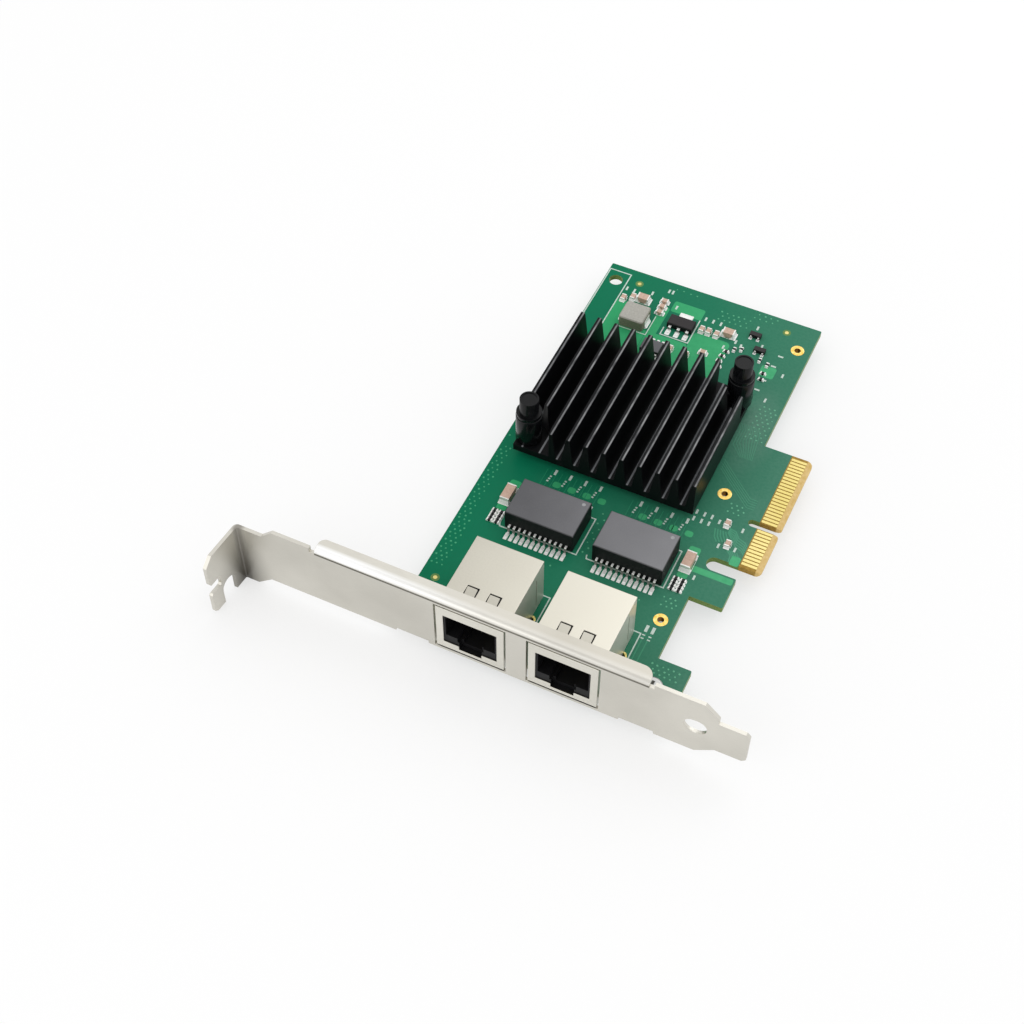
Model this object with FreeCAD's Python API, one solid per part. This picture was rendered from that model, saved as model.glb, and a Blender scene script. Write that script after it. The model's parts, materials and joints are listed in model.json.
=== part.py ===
import FreeCAD, Part
import math
import os

os.makedirs("parts", exist_ok=True)

# Network interface card: a circuit board with a card edge, two shielded network ports, a finned heat sink and
# a steel slot bracket. All lengths are millimetres.
#
# Frame: +X points out of the card edge, +Y points along the board away from the slot bracket, +Z points up
# out of the component face. The origin is the middle of the key notch, on the end face of the card edge, at
# the height of the component face.

V = FreeCAD.Vector

# Clearances and thin layers
FIT_GAP = 0.05               # side clearance between pieces that drop into each other
COPPER = 0.04                # thickness of the plated copper on the board
OVERRUN = 1.0                # how far a cutting tool runs past the face that it cuts

# Circuit board
BOARD_THICKNESS = 1.57
BOARD_WIDTH = 68.58          # end of the card edge to the opposite long edge
BOARD_LENGTH = 119.65
BOARD_FAR_Y = 63.35          # the edge away from the bracket
EDGE_SETBACK = 12.2          # long edge behind the end of the card edge
BOARD_CORNER = 0.3
TONGUE_CORNER = 1.2
KEY_WIDTH = 1.9
KEY_DEPTH = 7.7
KEY_CORNER = 0.6             # rounding where the key notch meets the end of the card edge
SHORT_TONGUE = 11.65
LONG_TONGUE = 21.65
BEVEL_LENGTH = 1.3
BEVEL_DEPTH = 0.4
GUIDE_SLOT_WIDTH = 3.66
TAB_SETBACK = 4.41           # ends of the two retention tabs behind the end of the card edge
INNER_TAB_LENGTH = 8.6
OUTER_TAB_LENGTH = 13.57

# Gold contacts of the card edge
CONTACT_PITCH = 1.0
CONTACT_WIDTH = 0.7
CONTACT_LENGTH = 3.7
CONTACT_TO_KEY = 1.5         # middle of the first contact from the middle of the key notch
SHORT_CONTACTS = 11
LONG_CONTACTS = 21

# Holes in the board
STAND_HOLE_RADIUS = 1.75
STAND_HOLE_INSET_X = 3.1
STAND_HOLE_INSET_Y = 5.25
PLATED_HOLE_RADIUS = 0.775
PLATED_RING_RADIUS = 1.65
PLATED_HOLE_INSET_X = 3.25   # behind the long edge at the card-edge side
PLATED_HOLES_FROM_FAR = (8.65, 58.15)
PLATED_HOLE_FROM_NEAR = 22.9

# Slot bracket
SHEET = 0.86
BRACKET_GAP = 1.84           # between the board and the back of the bracket
BRACKET_HEIGHT = 18.33       # plate, from the bottom edge to the outside of the flange
TONGUE_TIP_X = 13.74
BRACKET_LENGTH = 120.02      # tip of the tongue to the outside of the screw tab
BRACKET_TONGUE_WIDTH = 10.19
BRACKET_TONGUE_LENGTH = 6.79
BRACKET_TONGUE_SHIFT = -0.9  # middle of the tongue, from the middle of the plate
TONGUE_TIP_RADIUS = 0.9
SHOULDER_X = 4.3             # length of the slanted shoulders
SHOULDER_TOP_DROP = 3.3
NECK_TOP_DROP = 2.85
NECK_BOTTOM_DROP = 3.2
NECK_START = 9.8             # start of the upper shoulder, from the outside of the screw tab
NECK_BOTTOM_START = 7.8
NECK_BOTTOM_RUN = 3.7
BEND_INSIDE = 0.35
FLANGE_BEND_INSIDE = 0.25
FLANGE_DEPTH = 3.7
FLANGE_START = 20.3          # from the outside of the screw tab
FLANGE_END_X = -8.5
FLANGE_CORNER = 2.5
FLANGE_TAB_CORNER = 1.6       # corner nearest the screw tab
FOLD_LINE_WIDTH = 0.2        # groove along the front of the plate, just under the fold of the flange
FOLD_LINE_DEPTH = 0.15
RELIEF_WIDTH = 1.2
RELIEF_DEPTH = 1.35
TAB_DEPTH = 11.43
TAB_LEAN = 5.0               # degrees outward from square
TAB_CHAMFER = 2.25
TAB_SLOT_WIDTH = 4.42
TAB_SLOT_DEPTH = 5.6         # middle of the screw slot, from the front of the plate
TAB_SLOT_TOP = 6.35          # top of the screw slot, above the bottom of the tab
FINGER_NOTCH_LOW = 6.85      # notch in the outer edge, above the bottom of the tab
FINGER_NOTCH_HEIGHT = 3.1
FINGER_NOTCH_DEPTH = 3.6
FINGER_CHAMFER = 0.9
EAR_WIDTH = 8.0
EAR_LENGTH = 9.0             # how far the ears reach under the board
EAR_BEND_INSIDE = 0.25
LOCATING_HOLE_RADIUS = 2.25
LOCATING_HOLE_STRETCH = 0.7
LOCATING_HOLE_X = 2.2

# Screws through the board into the ears
SCREW_RADIUS = 1.5
SCREW_HEAD_RADIUS = 2.8
SCREW_HEAD_HEIGHT = 1.9
SCREW_TAIL = 0.8             # length below the ear
SCREW_HOLE_RADIUS = 1.6
SCREW_FROM_EDGE = 5.3        # screw line behind the bracket-side edge of the board
SCREW_LEFT_INSET = 5.4
SCREW_RIGHT_INSET = 6.1      # from the end of the outer tab
RECESS_WIDTH = 0.7
RECESS_LENGTH = 3.0
RECESS_DEPTH = 1.1

# Network ports
JACK_PITCH = 21.6
JACKS_SHIFT_X = 2.09         # middle of the pair, from the middle of the board
SHIELD_SHEET = 0.25
SHIELD_WIDTH = 16.0
SHIELD_LENGTH = 20.3
SHIELD_HEIGHT = 13.2
SHIELD_APRON = 1.2           # front of the shield below the component face
PORT_GAP = 0.45              # between the shield and the bracket
PLUG_WIDTH = 11.68
PLUG_FLOOR = 3.3
PLUG_ROOF = 10.0
PLUG_DEPTH = 12.7
KEY_STEP_WIDTH = 6.2
KEY_STEP_DEPTH = 1.4
KEY_GROOVE_WIDTH = 4.3
KEY_GROOVE_DEPTH = 1.2
MOUTH_WIDTH = 12.6           # opening in the front of the shield
MOUTH_ROOF = 10.5
MOUTH_FLOOR = 0.8
MOUTH_NOTCH_WIDTH = 5.4      # notch below the opening for the latch of the plug
MOUTH_NOTCH_FLOOR = -0.35
LIP_NOTCH_DEPTH = 1.2        # depth of the same notch in the lip of the housing
WINDOW_WIDTH = 2.85
WINDOW_LENGTH = 2.4
WINDOW_SPACING = 5.25
WINDOW_FROM_FRONT = 5.45
SPRING_TAB_WIDTH = 2.35
SPRING_TAB_LENGTH = 1.75
SPRING_TAB_RISE = 0.5
SEAM_WIDTH = 0.25            # upright slit in each side wall, where the back of the shield is folded round
SEAM_FROM_BACK = 3.9
SEAM_FROM_TOP = 2.3
SEAM_LENGTH = 9.4
LEG_WIDTH = 1.3
LEG_FROM_FRONT = 13.4
LEG_HOLE_RADIUS = 0.85
LEG_PAD_RADIUS = 1.3
TAIL_LENGTH = 1.2            # pins and legs below the solder face
PEG_RADIUS = 1.6
PEG_SPACING = 11.43
PEG_FROM_FRONT = 8.9
PEG_TAIL = 1.0

# Spring contacts of a port
WIRE_COUNT = 8
WIRE_PITCH = 1.02
WIRE_WIDTH = 0.45
WIRE_THICKNESS = 0.35
WIRE_SLOT = 0.65
WIRE_HEIGHT = 11.3           # middle of the wires above the component face
WIRE_BEND = 0.45
WIRE_FRONT = 1.9             # front bend behind the front of the shield
WIRE_TIP_BACK = 9.4          # free tips behind the front of the shield
WIRE_TIP_HEIGHT = 6.4
WIRE_ROW_BACK = 3.3          # rear row of pins, from the back of the shield
WIRE_ROW_SPACING = 2.54
WIRE_HOLE_RADIUS = 0.45

# Line transformers
COIL_BODY_X = 16.8
COIL_BODY_Y = 10.7
COIL_BODY_TOP = 5.8
COIL_STANDOFF = 0.3
COIL_CHAMFER = 0.25
COIL_SPACING = 21.5
COIL_SHIFT_X = 2.44          # middle of the pair, from the middle of the board
COIL_BEHIND_JACK = 18.9      # middle of the transformers behind the back of the ports
COIL_LEADS = 12
COIL_LEAD_PITCH = 1.27
COIL_LEAD_WIDTH = 0.5
COIL_LEAD_SHEET = 0.22
COIL_LEAD_REACH = 2.3
COIL_LEAD_EXIT = 1.7

# Heat sink
SINK_X = 45.0
SINK_Y = 38.5
SINK_SHIFT_X = -1.61         # middle of the heat sink, from the middle of the board
SINK_SHIFT_Y = 10.62
SINK_BASE = 2.0
SINK_TOP = 12.0
FIN_COUNT = 11
FIN_TIP = 1.0
FIN_ROOT = 3.1
POCKET_RADIUS = 9.0          # round clearings in the fins at two corners

# Controller under the heat sink
CONTROLLER_SIZE = 17.0
CONTROLLER_HEIGHT = 1.8
PAD_SIZE = 16.0
PAD_THICKNESS = 0.2
CRYSTAL_X = 5.0
CRYSTAL_Y = 3.2
CRYSTAL_HEIGHT = 1.0
CRYSTAL_GAP = 3.0            # between the controller and the crystal

# Push pins
PIN_INSET_X = 2.45
PIN_INSET_Y = 3.5
PIN_SHAFT_RADIUS = 1.45
PIN_HOLE_RADIUS = 1.6
PIN_CAP_RADIUS = 2.25
PIN_CAP_HEIGHT = 4.2
PIN_CAP_DISH = 0.2
PIN_CAP_RIM = 0.4
PIN_RING_RADIUS = 3.0
PIN_RING_HEIGHT = 1.0
BARREL_RADIUS = 3.1
BARREL_WALL = 0.45
BARREL_HEIGHT = 8.2
BARB_RADIUS = 1.95
BARB_LENGTH = 2.9
BARB_TIP_RADIUS = 0.8
BARB_SPLIT = 0.7
SPRING_WIRE = 0.4            # side of the square wire
SPRING_TURNS = 4

# Small parts, placed from the far corner of the board that is away from the card edge
CHOKE_X = 6.4
CHOKE_Y = 6.2
CHOKE_HEIGHT = 3.0
CHOKE_CORNER = 0.7
CHOKE_AT = (12.83, 16.25)
CHOKE_TERMINAL = 0.15
CHOKE_TERMINAL_WIDTH = 3.0
CHOKE_TERMINAL_HEIGHT = 2.0
REGULATOR_X = 6.6
REGULATOR_Y = 3.4
REGULATOR_HEIGHT = 1.6
REGULATOR_AT = (24.18, 13.2)
REGULATOR_LEAD_PITCH = 2.3
REGULATOR_LEAD_WIDTH = 0.7
REGULATOR_TAB_WIDTH = 3.0
REGULATOR_REACH = 1.8
MEMORY_X = 4.9
MEMORY_Y = 3.9
MEMORY_HEIGHT = 1.5
MEMORY_AT = (20.4, 23.5)
MEMORY_LEADS = 4
MEMORY_REACH = 1.05
TRANSISTOR_X = 2.9
TRANSISTOR_Y = 1.3
TRANSISTOR_HEIGHT = 1.0
TRANSISTOR_REACH = 0.55
TRANSISTORS_AT = ((42.1, 8.6), (44.8, 13.0))
LEAD_SHEET = 0.2
LEAD_SHOULDER = 0.35         # share of a lead's reach before it steps down
LEAD_SLOPE = 0.1             # how far the step leans out
CHIP_END = 0.3               # length of the metal ends of the chip parts
CHIP_END_LIP = 0.03
BIG_CAPACITOR = (4.6, 2.2, 1.8)
MIDDLE_CAPACITOR = (3.0, 1.9, 1.5)
SMALL_CAPACITOR = (1.8, 1.1, 0.9)
RESISTOR = (1.3, 0.7, 0.5)

# Middle of each chip part in from the left edge and back from the far edge; True lies along X
MIDDLE_CAPACITORS = ((12.2, 9.0, True), (35.9, 11.0, True))
SMALL_CAPACITORS = (
    (7.4, 10.6, False), (9.5, 9.3, False),
    (17.4, 7.4, True), (17.5, 9.4, True), (17.6, 11.4, True),
    (29.3, 12.4, False), (31.1, 12.4, False), (33.2, 12.4, False),
    (24.6, 21.8, False), (28.8, 22.0, False), (32.4, 19.5, True),
)
RESISTORS = (
    (37.4, 16.6, True), (39.0, 15.2, False), (40.6, 14.4, False), (37.0, 18.4, True),
    (36.9, 20.2, True), (37.4, 22.0, True), (48.1, 16.6, False), (48.1, 19.6, True),
    (48.3, 21.6, True), (45.9, 15.9, False),
)
LINE_RESISTOR_ROWS = 4
LINE_RESISTOR_COLUMNS = 2
LINE_RESISTOR_STEP_X = 1.7
LINE_RESISTOR_STEP_Y = 1.0
LINE_PART_GAP = 4.2          # middle of the line capacitors from the sides of the transformers
LINE_CAPACITOR_SHIFT = 3.1   # line capacitors behind the middle of the transformers
LINE_RESISTOR_SHIFT = -3.5
CARD_EDGE_CAPACITORS = ((-11.7, -2.8, False), (-9.6, -8.2, False))

# Planes and edges that follow from the sizes above
BOARD_LEFT_X = -BOARD_WIDTH
BOARD_RIGHT_X = -EDGE_SETBACK
BOARD_NEAR_Y = BOARD_FAR_Y - BOARD_LENGTH
BOARD_MIDDLE_X = (BOARD_LEFT_X + BOARD_RIGHT_X) / 2
BOARD_MIDDLE_Y = (BOARD_NEAR_Y + BOARD_FAR_Y) / 2
SOLDER_Z = -BOARD_THICKNESS
SHORT_TONGUE_END = -(KEY_WIDTH / 2 + SHORT_TONGUE)
LONG_TONGUE_END = KEY_WIDTH / 2 + LONG_TONGUE
GUIDE_SLOT_END = SHORT_TONGUE_END - GUIDE_SLOT_WIDTH
INNER_TAB_END = GUIDE_SLOT_END - INNER_TAB_LENGTH
OUTER_TAB_START = BOARD_NEAR_Y + OUTER_TAB_LENGTH

PLATE_BACK_Y = BOARD_NEAR_Y - BRACKET_GAP
PLATE_FRONT_Y = PLATE_BACK_Y - SHEET
PLATE_MIDDLE_Y = PLATE_BACK_Y - SHEET / 2
PLATE_BOTTOM_Z = SOLDER_Z - SHEET
PLATE_TOP_Z = PLATE_BOTTOM_Z + BRACKET_HEIGHT
PLATE_MIDDLE_Z = (PLATE_BOTTOM_Z + PLATE_TOP_Z) / 2
TAB_OUTSIDE_X = TONGUE_TIP_X - BRACKET_LENGTH
NECK_TOP_Z = PLATE_TOP_Z - NECK_TOP_DROP
NECK_BOTTOM_Z = PLATE_BOTTOM_Z - NECK_BOTTOM_DROP
SCREW_Y = BOARD_NEAR_Y + SCREW_FROM_EDGE
SCREW_XS = (BOARD_LEFT_X + SCREW_LEFT_INSET, -TAB_SETBACK - SCREW_RIGHT_INSET)

JACK_XS = [BOARD_MIDDLE_X + JACKS_SHIFT_X + side * JACK_PITCH / 2 for side in (-1, 1)]
JACK_FRONT_Y = PLATE_FRONT_Y
JACK_BACK_Y = JACK_FRONT_Y + SHIELD_LENGTH
LEG_Y = JACK_FRONT_Y + LEG_FROM_FRONT
PEG_Y = JACK_FRONT_Y + PEG_FROM_FRONT
WIRE_ROW_YS = (JACK_BACK_Y - WIRE_ROW_BACK, JACK_BACK_Y - WIRE_ROW_BACK - WIRE_ROW_SPACING)

COIL_XS = [BOARD_MIDDLE_X + COIL_SHIFT_X + side * COIL_SPACING / 2 for side in (-1, 1)]
COIL_Y = JACK_BACK_Y + COIL_BEHIND_JACK

SINK_MIDDLE_X = BOARD_MIDDLE_X + SINK_SHIFT_X
SINK_MIDDLE_Y = BOARD_MIDDLE_Y + SINK_SHIFT_Y
SINK_BOTTOM = CONTROLLER_HEIGHT + PAD_THICKNESS
SINK_FLOOR = SINK_BOTTOM + SINK_BASE
SINK_X0 = SINK_MIDDLE_X - SINK_X / 2
SINK_X1 = SINK_MIDDLE_X + SINK_X / 2
SINK_Y0 = SINK_MIDDLE_Y - SINK_Y / 2
SINK_Y1 = SINK_MIDDLE_Y + SINK_Y / 2
PINS_AT = ((SINK_X0 + PIN_INSET_X, SINK_Y0 + PIN_INSET_Y), (SINK_X1 - PIN_INSET_X, SINK_Y1 - PIN_INSET_Y))
RING_BOTTOM = SINK_FLOOR + BARREL_HEIGHT
CAP_BOTTOM = RING_BOTTOM + PIN_RING_HEIGHT
CAP_TOP = CAP_BOTTOM + PIN_CAP_HEIGHT


# ---------------------------------------------------------------- helpers

def block(x0, x1, y0, y1, z0, z1):
    """Box between two corners."""
    return Part.makeBox(x1 - x0, y1 - y0, z1 - z0, V(x0, y0, z0))


def centred_block(x, y, size_x, size_y, z0, z1):
    """Box centred on an upright line."""
    return block(x - size_x / 2, x + size_x / 2, y - size_y / 2, y + size_y / 2, z0, z1)


def rod(x, y, z0, z1, radius):
    """Upright cylinder."""
    return Part.makeCylinder(radius, z1 - z0, V(x, y, z0))


def tube(x, y, z0, z1, outside, inside):
    """Upright tube."""
    return rod(x, y, z0, z1, outside).cut(rod(x, y, z0 - OVERRUN, z1 + OVERRUN, inside))


def across_x(x):
    """Places a flat (y, z) point at one x."""
    return lambda a, b: V(x, a, b)


def across_y(y):
    """Places a flat (x, z) point at one y."""
    return lambda a, b: V(a, y, b)


def across_z(z):
    """Places a flat (x, y) point at one z."""
    return lambda a, b: V(a, b, z)


def prism(points, place, reach):
    """Straight-sided solid over a flat outline."""
    outline = [place(a, b) for a, b in points]
    return Part.Face(Part.makePolygon(outline + outline[:1])).extrude(reach)


def rail(points, radius, offset, place):
    """Edges that follow a path with round bends, a distance to its left."""
    flat = [V(a, b, 0) for a, b in points]
    edges = []
    start = None
    for i in range(1, len(flat)):
        run = (flat[i] - flat[i - 1]).normalize()
        side = V(-run.y, run.x, 0)
        if start is None:
            start = flat[0] + side * offset
        if i == len(flat) - 1:
            edges.append((start, flat[i] + side * offset))
            break
        onward = (flat[i + 1] - flat[i]).normalize()
        turn = math.copysign(1, run.cross(onward).z)
        setback = radius * math.tan(run.getAngle(onward) / 2)
        leave = flat[i] - run * setback
        join = flat[i] + onward * setback
        centre = leave + side * (turn * radius)
        outward = (flat[i] - centre).normalize()
        bend_start = leave + side * offset
        bend_middle = centre + outward * (radius - turn * offset)
        bend_end = join + V(-onward.y, onward.x, 0) * offset
        edges.append((start, bend_start))
        edges.append((bend_start, bend_middle, bend_end))
        start = bend_end
    placed = [[place(p.x, p.y) for p in edge] for edge in edges]
    return [Part.makeLine(*edge) if len(edge) == 2 else Part.Arc(*edge).toShape() for edge in placed]


def bent_strip(points, thickness, radius, place, reach):
    """Strip of even thickness along a path; radius is the bend radius of its middle line."""
    left = rail(points, radius, thickness / 2, place)
    right = rail(points, radius, -thickness / 2, place)
    ends = []
    for index, vertex in ((0, 0), (-1, -1)):
        ends.append(Part.makeLine(left[index].Vertexes[vertex].Point, right[index].Vertexes[vertex].Point))
    outline = Part.Wire(Part.__sortEdges__(left + right + ends))
    return Part.Face(outline).extrude(reach)


def round_corners(shape, corners, radius):
    """Rounds the upright edges that stand at the given (x, y) corners."""
    picked = []
    for edge in shape.Edges:
        ends = [vertex.Point for vertex in edge.Vertexes]
        if len(ends) == 2 and (ends[0] - ends[1]).cross(V(0, 0, 1)).Length < 1e-6:
            if any(math.hypot(ends[0].x - x, ends[0].y - y) < 1e-4 for x, y in corners):
                picked.append(edge)
    return shape.makeFillet(radius, picked)


def chamfer_top(shape, size):
    """Chamfers the edges round the top face."""
    top = shape.BoundBox.ZMax
    return shape.makeChamfer(size, [e for e in shape.Edges if e.BoundBox.ZMin > top - 1e-6])


def fuse_all(shapes):
    """One solid from touching or overlapping solids."""
    return shapes[0].fuse(shapes[1:]).removeSplitter()


def cut_all(shape, tools):
    """Cuts every tool out of the shape."""
    return shape.cut(Part.makeCompound(tools)) if tools else shape


def spread(count, pitch):
    """Places of a row of equal steps about zero."""
    return [(i - (count - 1) / 2) * pitch for i in range(count)]


def gull_lead(x, y, out, exit_height, reach, sheet, width):
    """Lead that leaves a moulded body sideways at y, steps down and lies flat on the board."""
    foot = sheet / 2
    shoulder = reach * LEAD_SHOULDER
    path = [(0, exit_height), (shoulder, exit_height), (shoulder + LEAD_SLOPE, foot), (reach, foot)]
    points = [(y + out * a, b) for a, b in path]
    return bent_strip(points, sheet, sheet * 0.6, across_x(x - width / 2), V(width, 0, 0))


def lead_row(x, y, out, count, pitch, exit_height, reach, sheet, width):
    """Row of equal leads along X."""
    return [gull_lead(x + step, y, out, exit_height, reach, sheet, width) for step in spread(count, pitch)]


# ---------------------------------------------------------------- circuit board

def board_blank():
    """Board outline with its tongues, tabs and notches, without holes."""
    inside = BOARD_RIGHT_X - OVERRUN
    pieces = [
        block(BOARD_LEFT_X, BOARD_RIGHT_X, BOARD_NEAR_Y, BOARD_FAR_Y, SOLDER_Z, 0),
        block(inside, 0, SHORT_TONGUE_END, LONG_TONGUE_END, SOLDER_Z, 0),
        block(inside, -TAB_SETBACK, INNER_TAB_END, GUIDE_SLOT_END, SOLDER_Z, 0),
        block(inside, -TAB_SETBACK, BOARD_NEAR_Y, OUTER_TAB_START, SOLDER_Z, 0),
        block(inside, BOARD_RIGHT_X + GUIDE_SLOT_WIDTH / 2, GUIDE_SLOT_END, SHORT_TONGUE_END, SOLDER_Z, 0),
    ]
    blank = fuse_all(pieces)
    below = SOLDER_Z - OVERRUN
    slot_middle = (GUIDE_SLOT_END + SHORT_TONGUE_END) / 2
    slot_centre_x = BOARD_RIGHT_X + GUIDE_SLOT_WIDTH / 2
    key_centre_x = -KEY_DEPTH + KEY_WIDTH / 2
    blank = cut_all(blank, [
        rod(slot_centre_x, slot_middle, below, OVERRUN, GUIDE_SLOT_WIDTH / 2),
        rod(key_centre_x, 0, below, OVERRUN, KEY_WIDTH / 2),
        block(key_centre_x, OVERRUN, -KEY_WIDTH / 2, KEY_WIDTH / 2, below, OVERRUN),
    ])
    blank = round_corners(blank, [(0, SHORT_TONGUE_END), (0, LONG_TONGUE_END)], TONGUE_CORNER)
    blank = round_corners(blank, [(0, -KEY_WIDTH / 2), (0, KEY_WIDTH / 2)], KEY_CORNER)
    tab_corners = [(-TAB_SETBACK, y) for y in (INNER_TAB_END, GUIDE_SLOT_END, BOARD_NEAR_Y, OUTER_TAB_START)]
    board_corners = [(BOARD_LEFT_X, BOARD_NEAR_Y), (BOARD_LEFT_X, BOARD_FAR_Y), (BOARD_RIGHT_X, BOARD_FAR_Y)]
    return round_corners(blank, tab_corners + board_corners, BOARD_CORNER)


def bevels():
    """Wedges that bevel both faces at the end of the card edge."""
    along = V(0, LONG_TONGUE_END - SHORT_TONGUE_END + 2 * OVERRUN, 0)
    place = across_y(SHORT_TONGUE_END - OVERRUN)
    upper = [(-BEVEL_LENGTH, 0), (0, -BEVEL_DEPTH), (OVERRUN, -BEVEL_DEPTH), (OVERRUN, OVERRUN)]
    upper.append((-BEVEL_LENGTH, OVERRUN))
    lower = [(x, SOLDER_Z - z) for x, z in upper]
    return [prism(upper, place, along), prism(lower, place, along)]


def plated_hole_places():
    """Middle of each gold-ringed hole, in a line behind the long edge."""
    ys = [BOARD_FAR_Y - inset for inset in PLATED_HOLES_FROM_FAR] + [BOARD_NEAR_Y + PLATED_HOLE_FROM_NEAR]
    return [(BOARD_RIGHT_X - PLATED_HOLE_INSET_X, y) for y in ys]


def wire_places(jack_x):
    """Column and pin row of each spring contact of a port."""
    steps = spread(WIRE_COUNT, WIRE_PITCH)
    return [(jack_x + step, WIRE_ROW_YS[i % 2]) for i, step in enumerate(steps)]


def leg_places(jack_x):
    """Middle of the two shield legs of a port."""
    reach = (SHIELD_WIDTH - SHIELD_SHEET) / 2
    return [(jack_x + side * reach, LEG_Y) for side in (-1, 1)]


def peg_places(jack_x):
    """Middle of the two plastic pegs of a port."""
    return [(jack_x + side * PEG_SPACING / 2, PEG_Y) for side in (-1, 1)]


def board_holes():
    """Cylinders for every hole through the board."""
    places = [(BOARD_LEFT_X + STAND_HOLE_INSET_X, BOARD_FAR_Y - STAND_HOLE_INSET_Y, STAND_HOLE_RADIUS)]
    places += [(x, y, PLATED_HOLE_RADIUS + COPPER) for x, y in plated_hole_places()]
    places += [(x, SCREW_Y, SCREW_HOLE_RADIUS) for x in SCREW_XS]
    places += [(x, y, PIN_HOLE_RADIUS) for x, y in PINS_AT]
    for jack_x in JACK_XS:
        places += [(x, y, PEG_RADIUS + FIT_GAP) for x, y in peg_places(jack_x)]
        places += [(x, y, LEG_HOLE_RADIUS) for x, y in leg_places(jack_x)]
        places += [(x, y, WIRE_HOLE_RADIUS) for x, y in wire_places(jack_x)]
    return [rod(x, y, SOLDER_Z - OVERRUN, OVERRUN, radius) for x, y, radius in places]


def circuit_board():
    """The board with its bevelled card edge and all its holes."""
    return cut_all(board_blank(), bevels() + board_holes())


def edge_contacts(z0):
    """Row of gold contacts on one face of the card edge."""
    ys = [-CONTACT_TO_KEY - i * CONTACT_PITCH for i in range(SHORT_CONTACTS)]
    ys += [CONTACT_TO_KEY + i * CONTACT_PITCH for i in range(LONG_CONTACTS)]
    x1 = -BEVEL_LENGTH
    x0 = x1 - CONTACT_LENGTH
    half = CONTACT_WIDTH / 2
    return Part.makeCompound([block(x0, x1, y - half, y + half, z0, z0 + COPPER) for y in ys])


def plated_hole(x, y):
    """Copper lining of a hole with a ring on each face."""
    lining = tube(x, y, SOLDER_Z - COPPER, COPPER, PLATED_HOLE_RADIUS + COPPER, PLATED_HOLE_RADIUS)
    ring_zs = (0, SOLDER_Z - COPPER)
    rings = [tube(x, y, z, z + COPPER, PLATED_RING_RADIUS, PLATED_HOLE_RADIUS) for z in ring_zs]
    return fuse_all([lining] + rings)


def shield_leg_pads():
    """Gold rings on the board round the outer leg of each port shield."""
    pads = []
    reach = 2 * LEG_PAD_RADIUS
    for jack_x in JACK_XS:
        x, y = leg_places(jack_x)[1]
        ring = tube(x, y, 0, COPPER, LEG_PAD_RADIUS, LEG_HOLE_RADIUS)
        shield_edge = jack_x + SHIELD_WIDTH / 2 + FIT_GAP
        pads.append(ring.common(block(shield_edge, x + reach, y - reach, y + reach, 0, COPPER)))
    return Part.makeCompound(pads)


# ---------------------------------------------------------------- slot bracket

def bracket_sheet():
    """Plate and screw tab as one bent sheet, taller than the finished bracket."""
    lean = math.radians(TAB_LEAN)
    corner_x = TAB_OUTSIDE_X + SHEET / 2
    run = TAB_DEPTH + SHEET / 2
    tab_end = (corner_x - run * math.tan(lean), PLATE_FRONT_Y - TAB_DEPTH)
    path = [(TONGUE_TIP_X, PLATE_MIDDLE_Y), (corner_x, PLATE_MIDDLE_Y), tab_end]
    low = NECK_BOTTOM_Z
    return bent_strip(path, SHEET, BEND_INSIDE + SHEET / 2, across_z(low), V(0, 0, PLATE_TOP_Z - low))


def plate_outline():
    """Outline of the plate, the tongue and the neck as a thick prism."""
    tongue_middle = PLATE_MIDDLE_Z + BRACKET_TONGUE_SHIFT
    tongue_top = tongue_middle + BRACKET_TONGUE_WIDTH / 2
    tongue_bottom = tongue_middle - BRACKET_TONGUE_WIDTH / 2
    root_x = TONGUE_TIP_X - BRACKET_TONGUE_LENGTH
    left = TAB_OUTSIDE_X - OVERRUN
    upper_shoulder = TAB_OUTSIDE_X + NECK_START
    lower_shoulder = TAB_OUTSIDE_X + NECK_BOTTOM_START
    points = [
        (left, NECK_BOTTOM_Z),
        (lower_shoulder - NECK_BOTTOM_RUN, NECK_BOTTOM_Z),
        (lower_shoulder, PLATE_BOTTOM_Z),
        (root_x - SHOULDER_X, PLATE_BOTTOM_Z),
        (root_x, tongue_bottom),
        (TONGUE_TIP_X - TONGUE_TIP_RADIUS, tongue_bottom),
        (TONGUE_TIP_X, tongue_bottom + TONGUE_TIP_RADIUS),
        (TONGUE_TIP_X, tongue_top - TONGUE_TIP_RADIUS),
        (TONGUE_TIP_X - TONGUE_TIP_RADIUS, tongue_top),
        (root_x, tongue_top),
        (root_x, PLATE_TOP_Z - SHOULDER_TOP_DROP),
        (root_x - SHOULDER_TOP_DROP, PLATE_TOP_Z),
        (upper_shoulder, PLATE_TOP_Z),
        (upper_shoulder - NECK_TOP_DROP, NECK_TOP_Z),
        (left, NECK_TOP_Z),
    ]
    front = PLATE_FRONT_Y - BEND_INSIDE
    return prism(points, across_y(front), V(0, PLATE_BACK_Y - front, 0))


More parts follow.
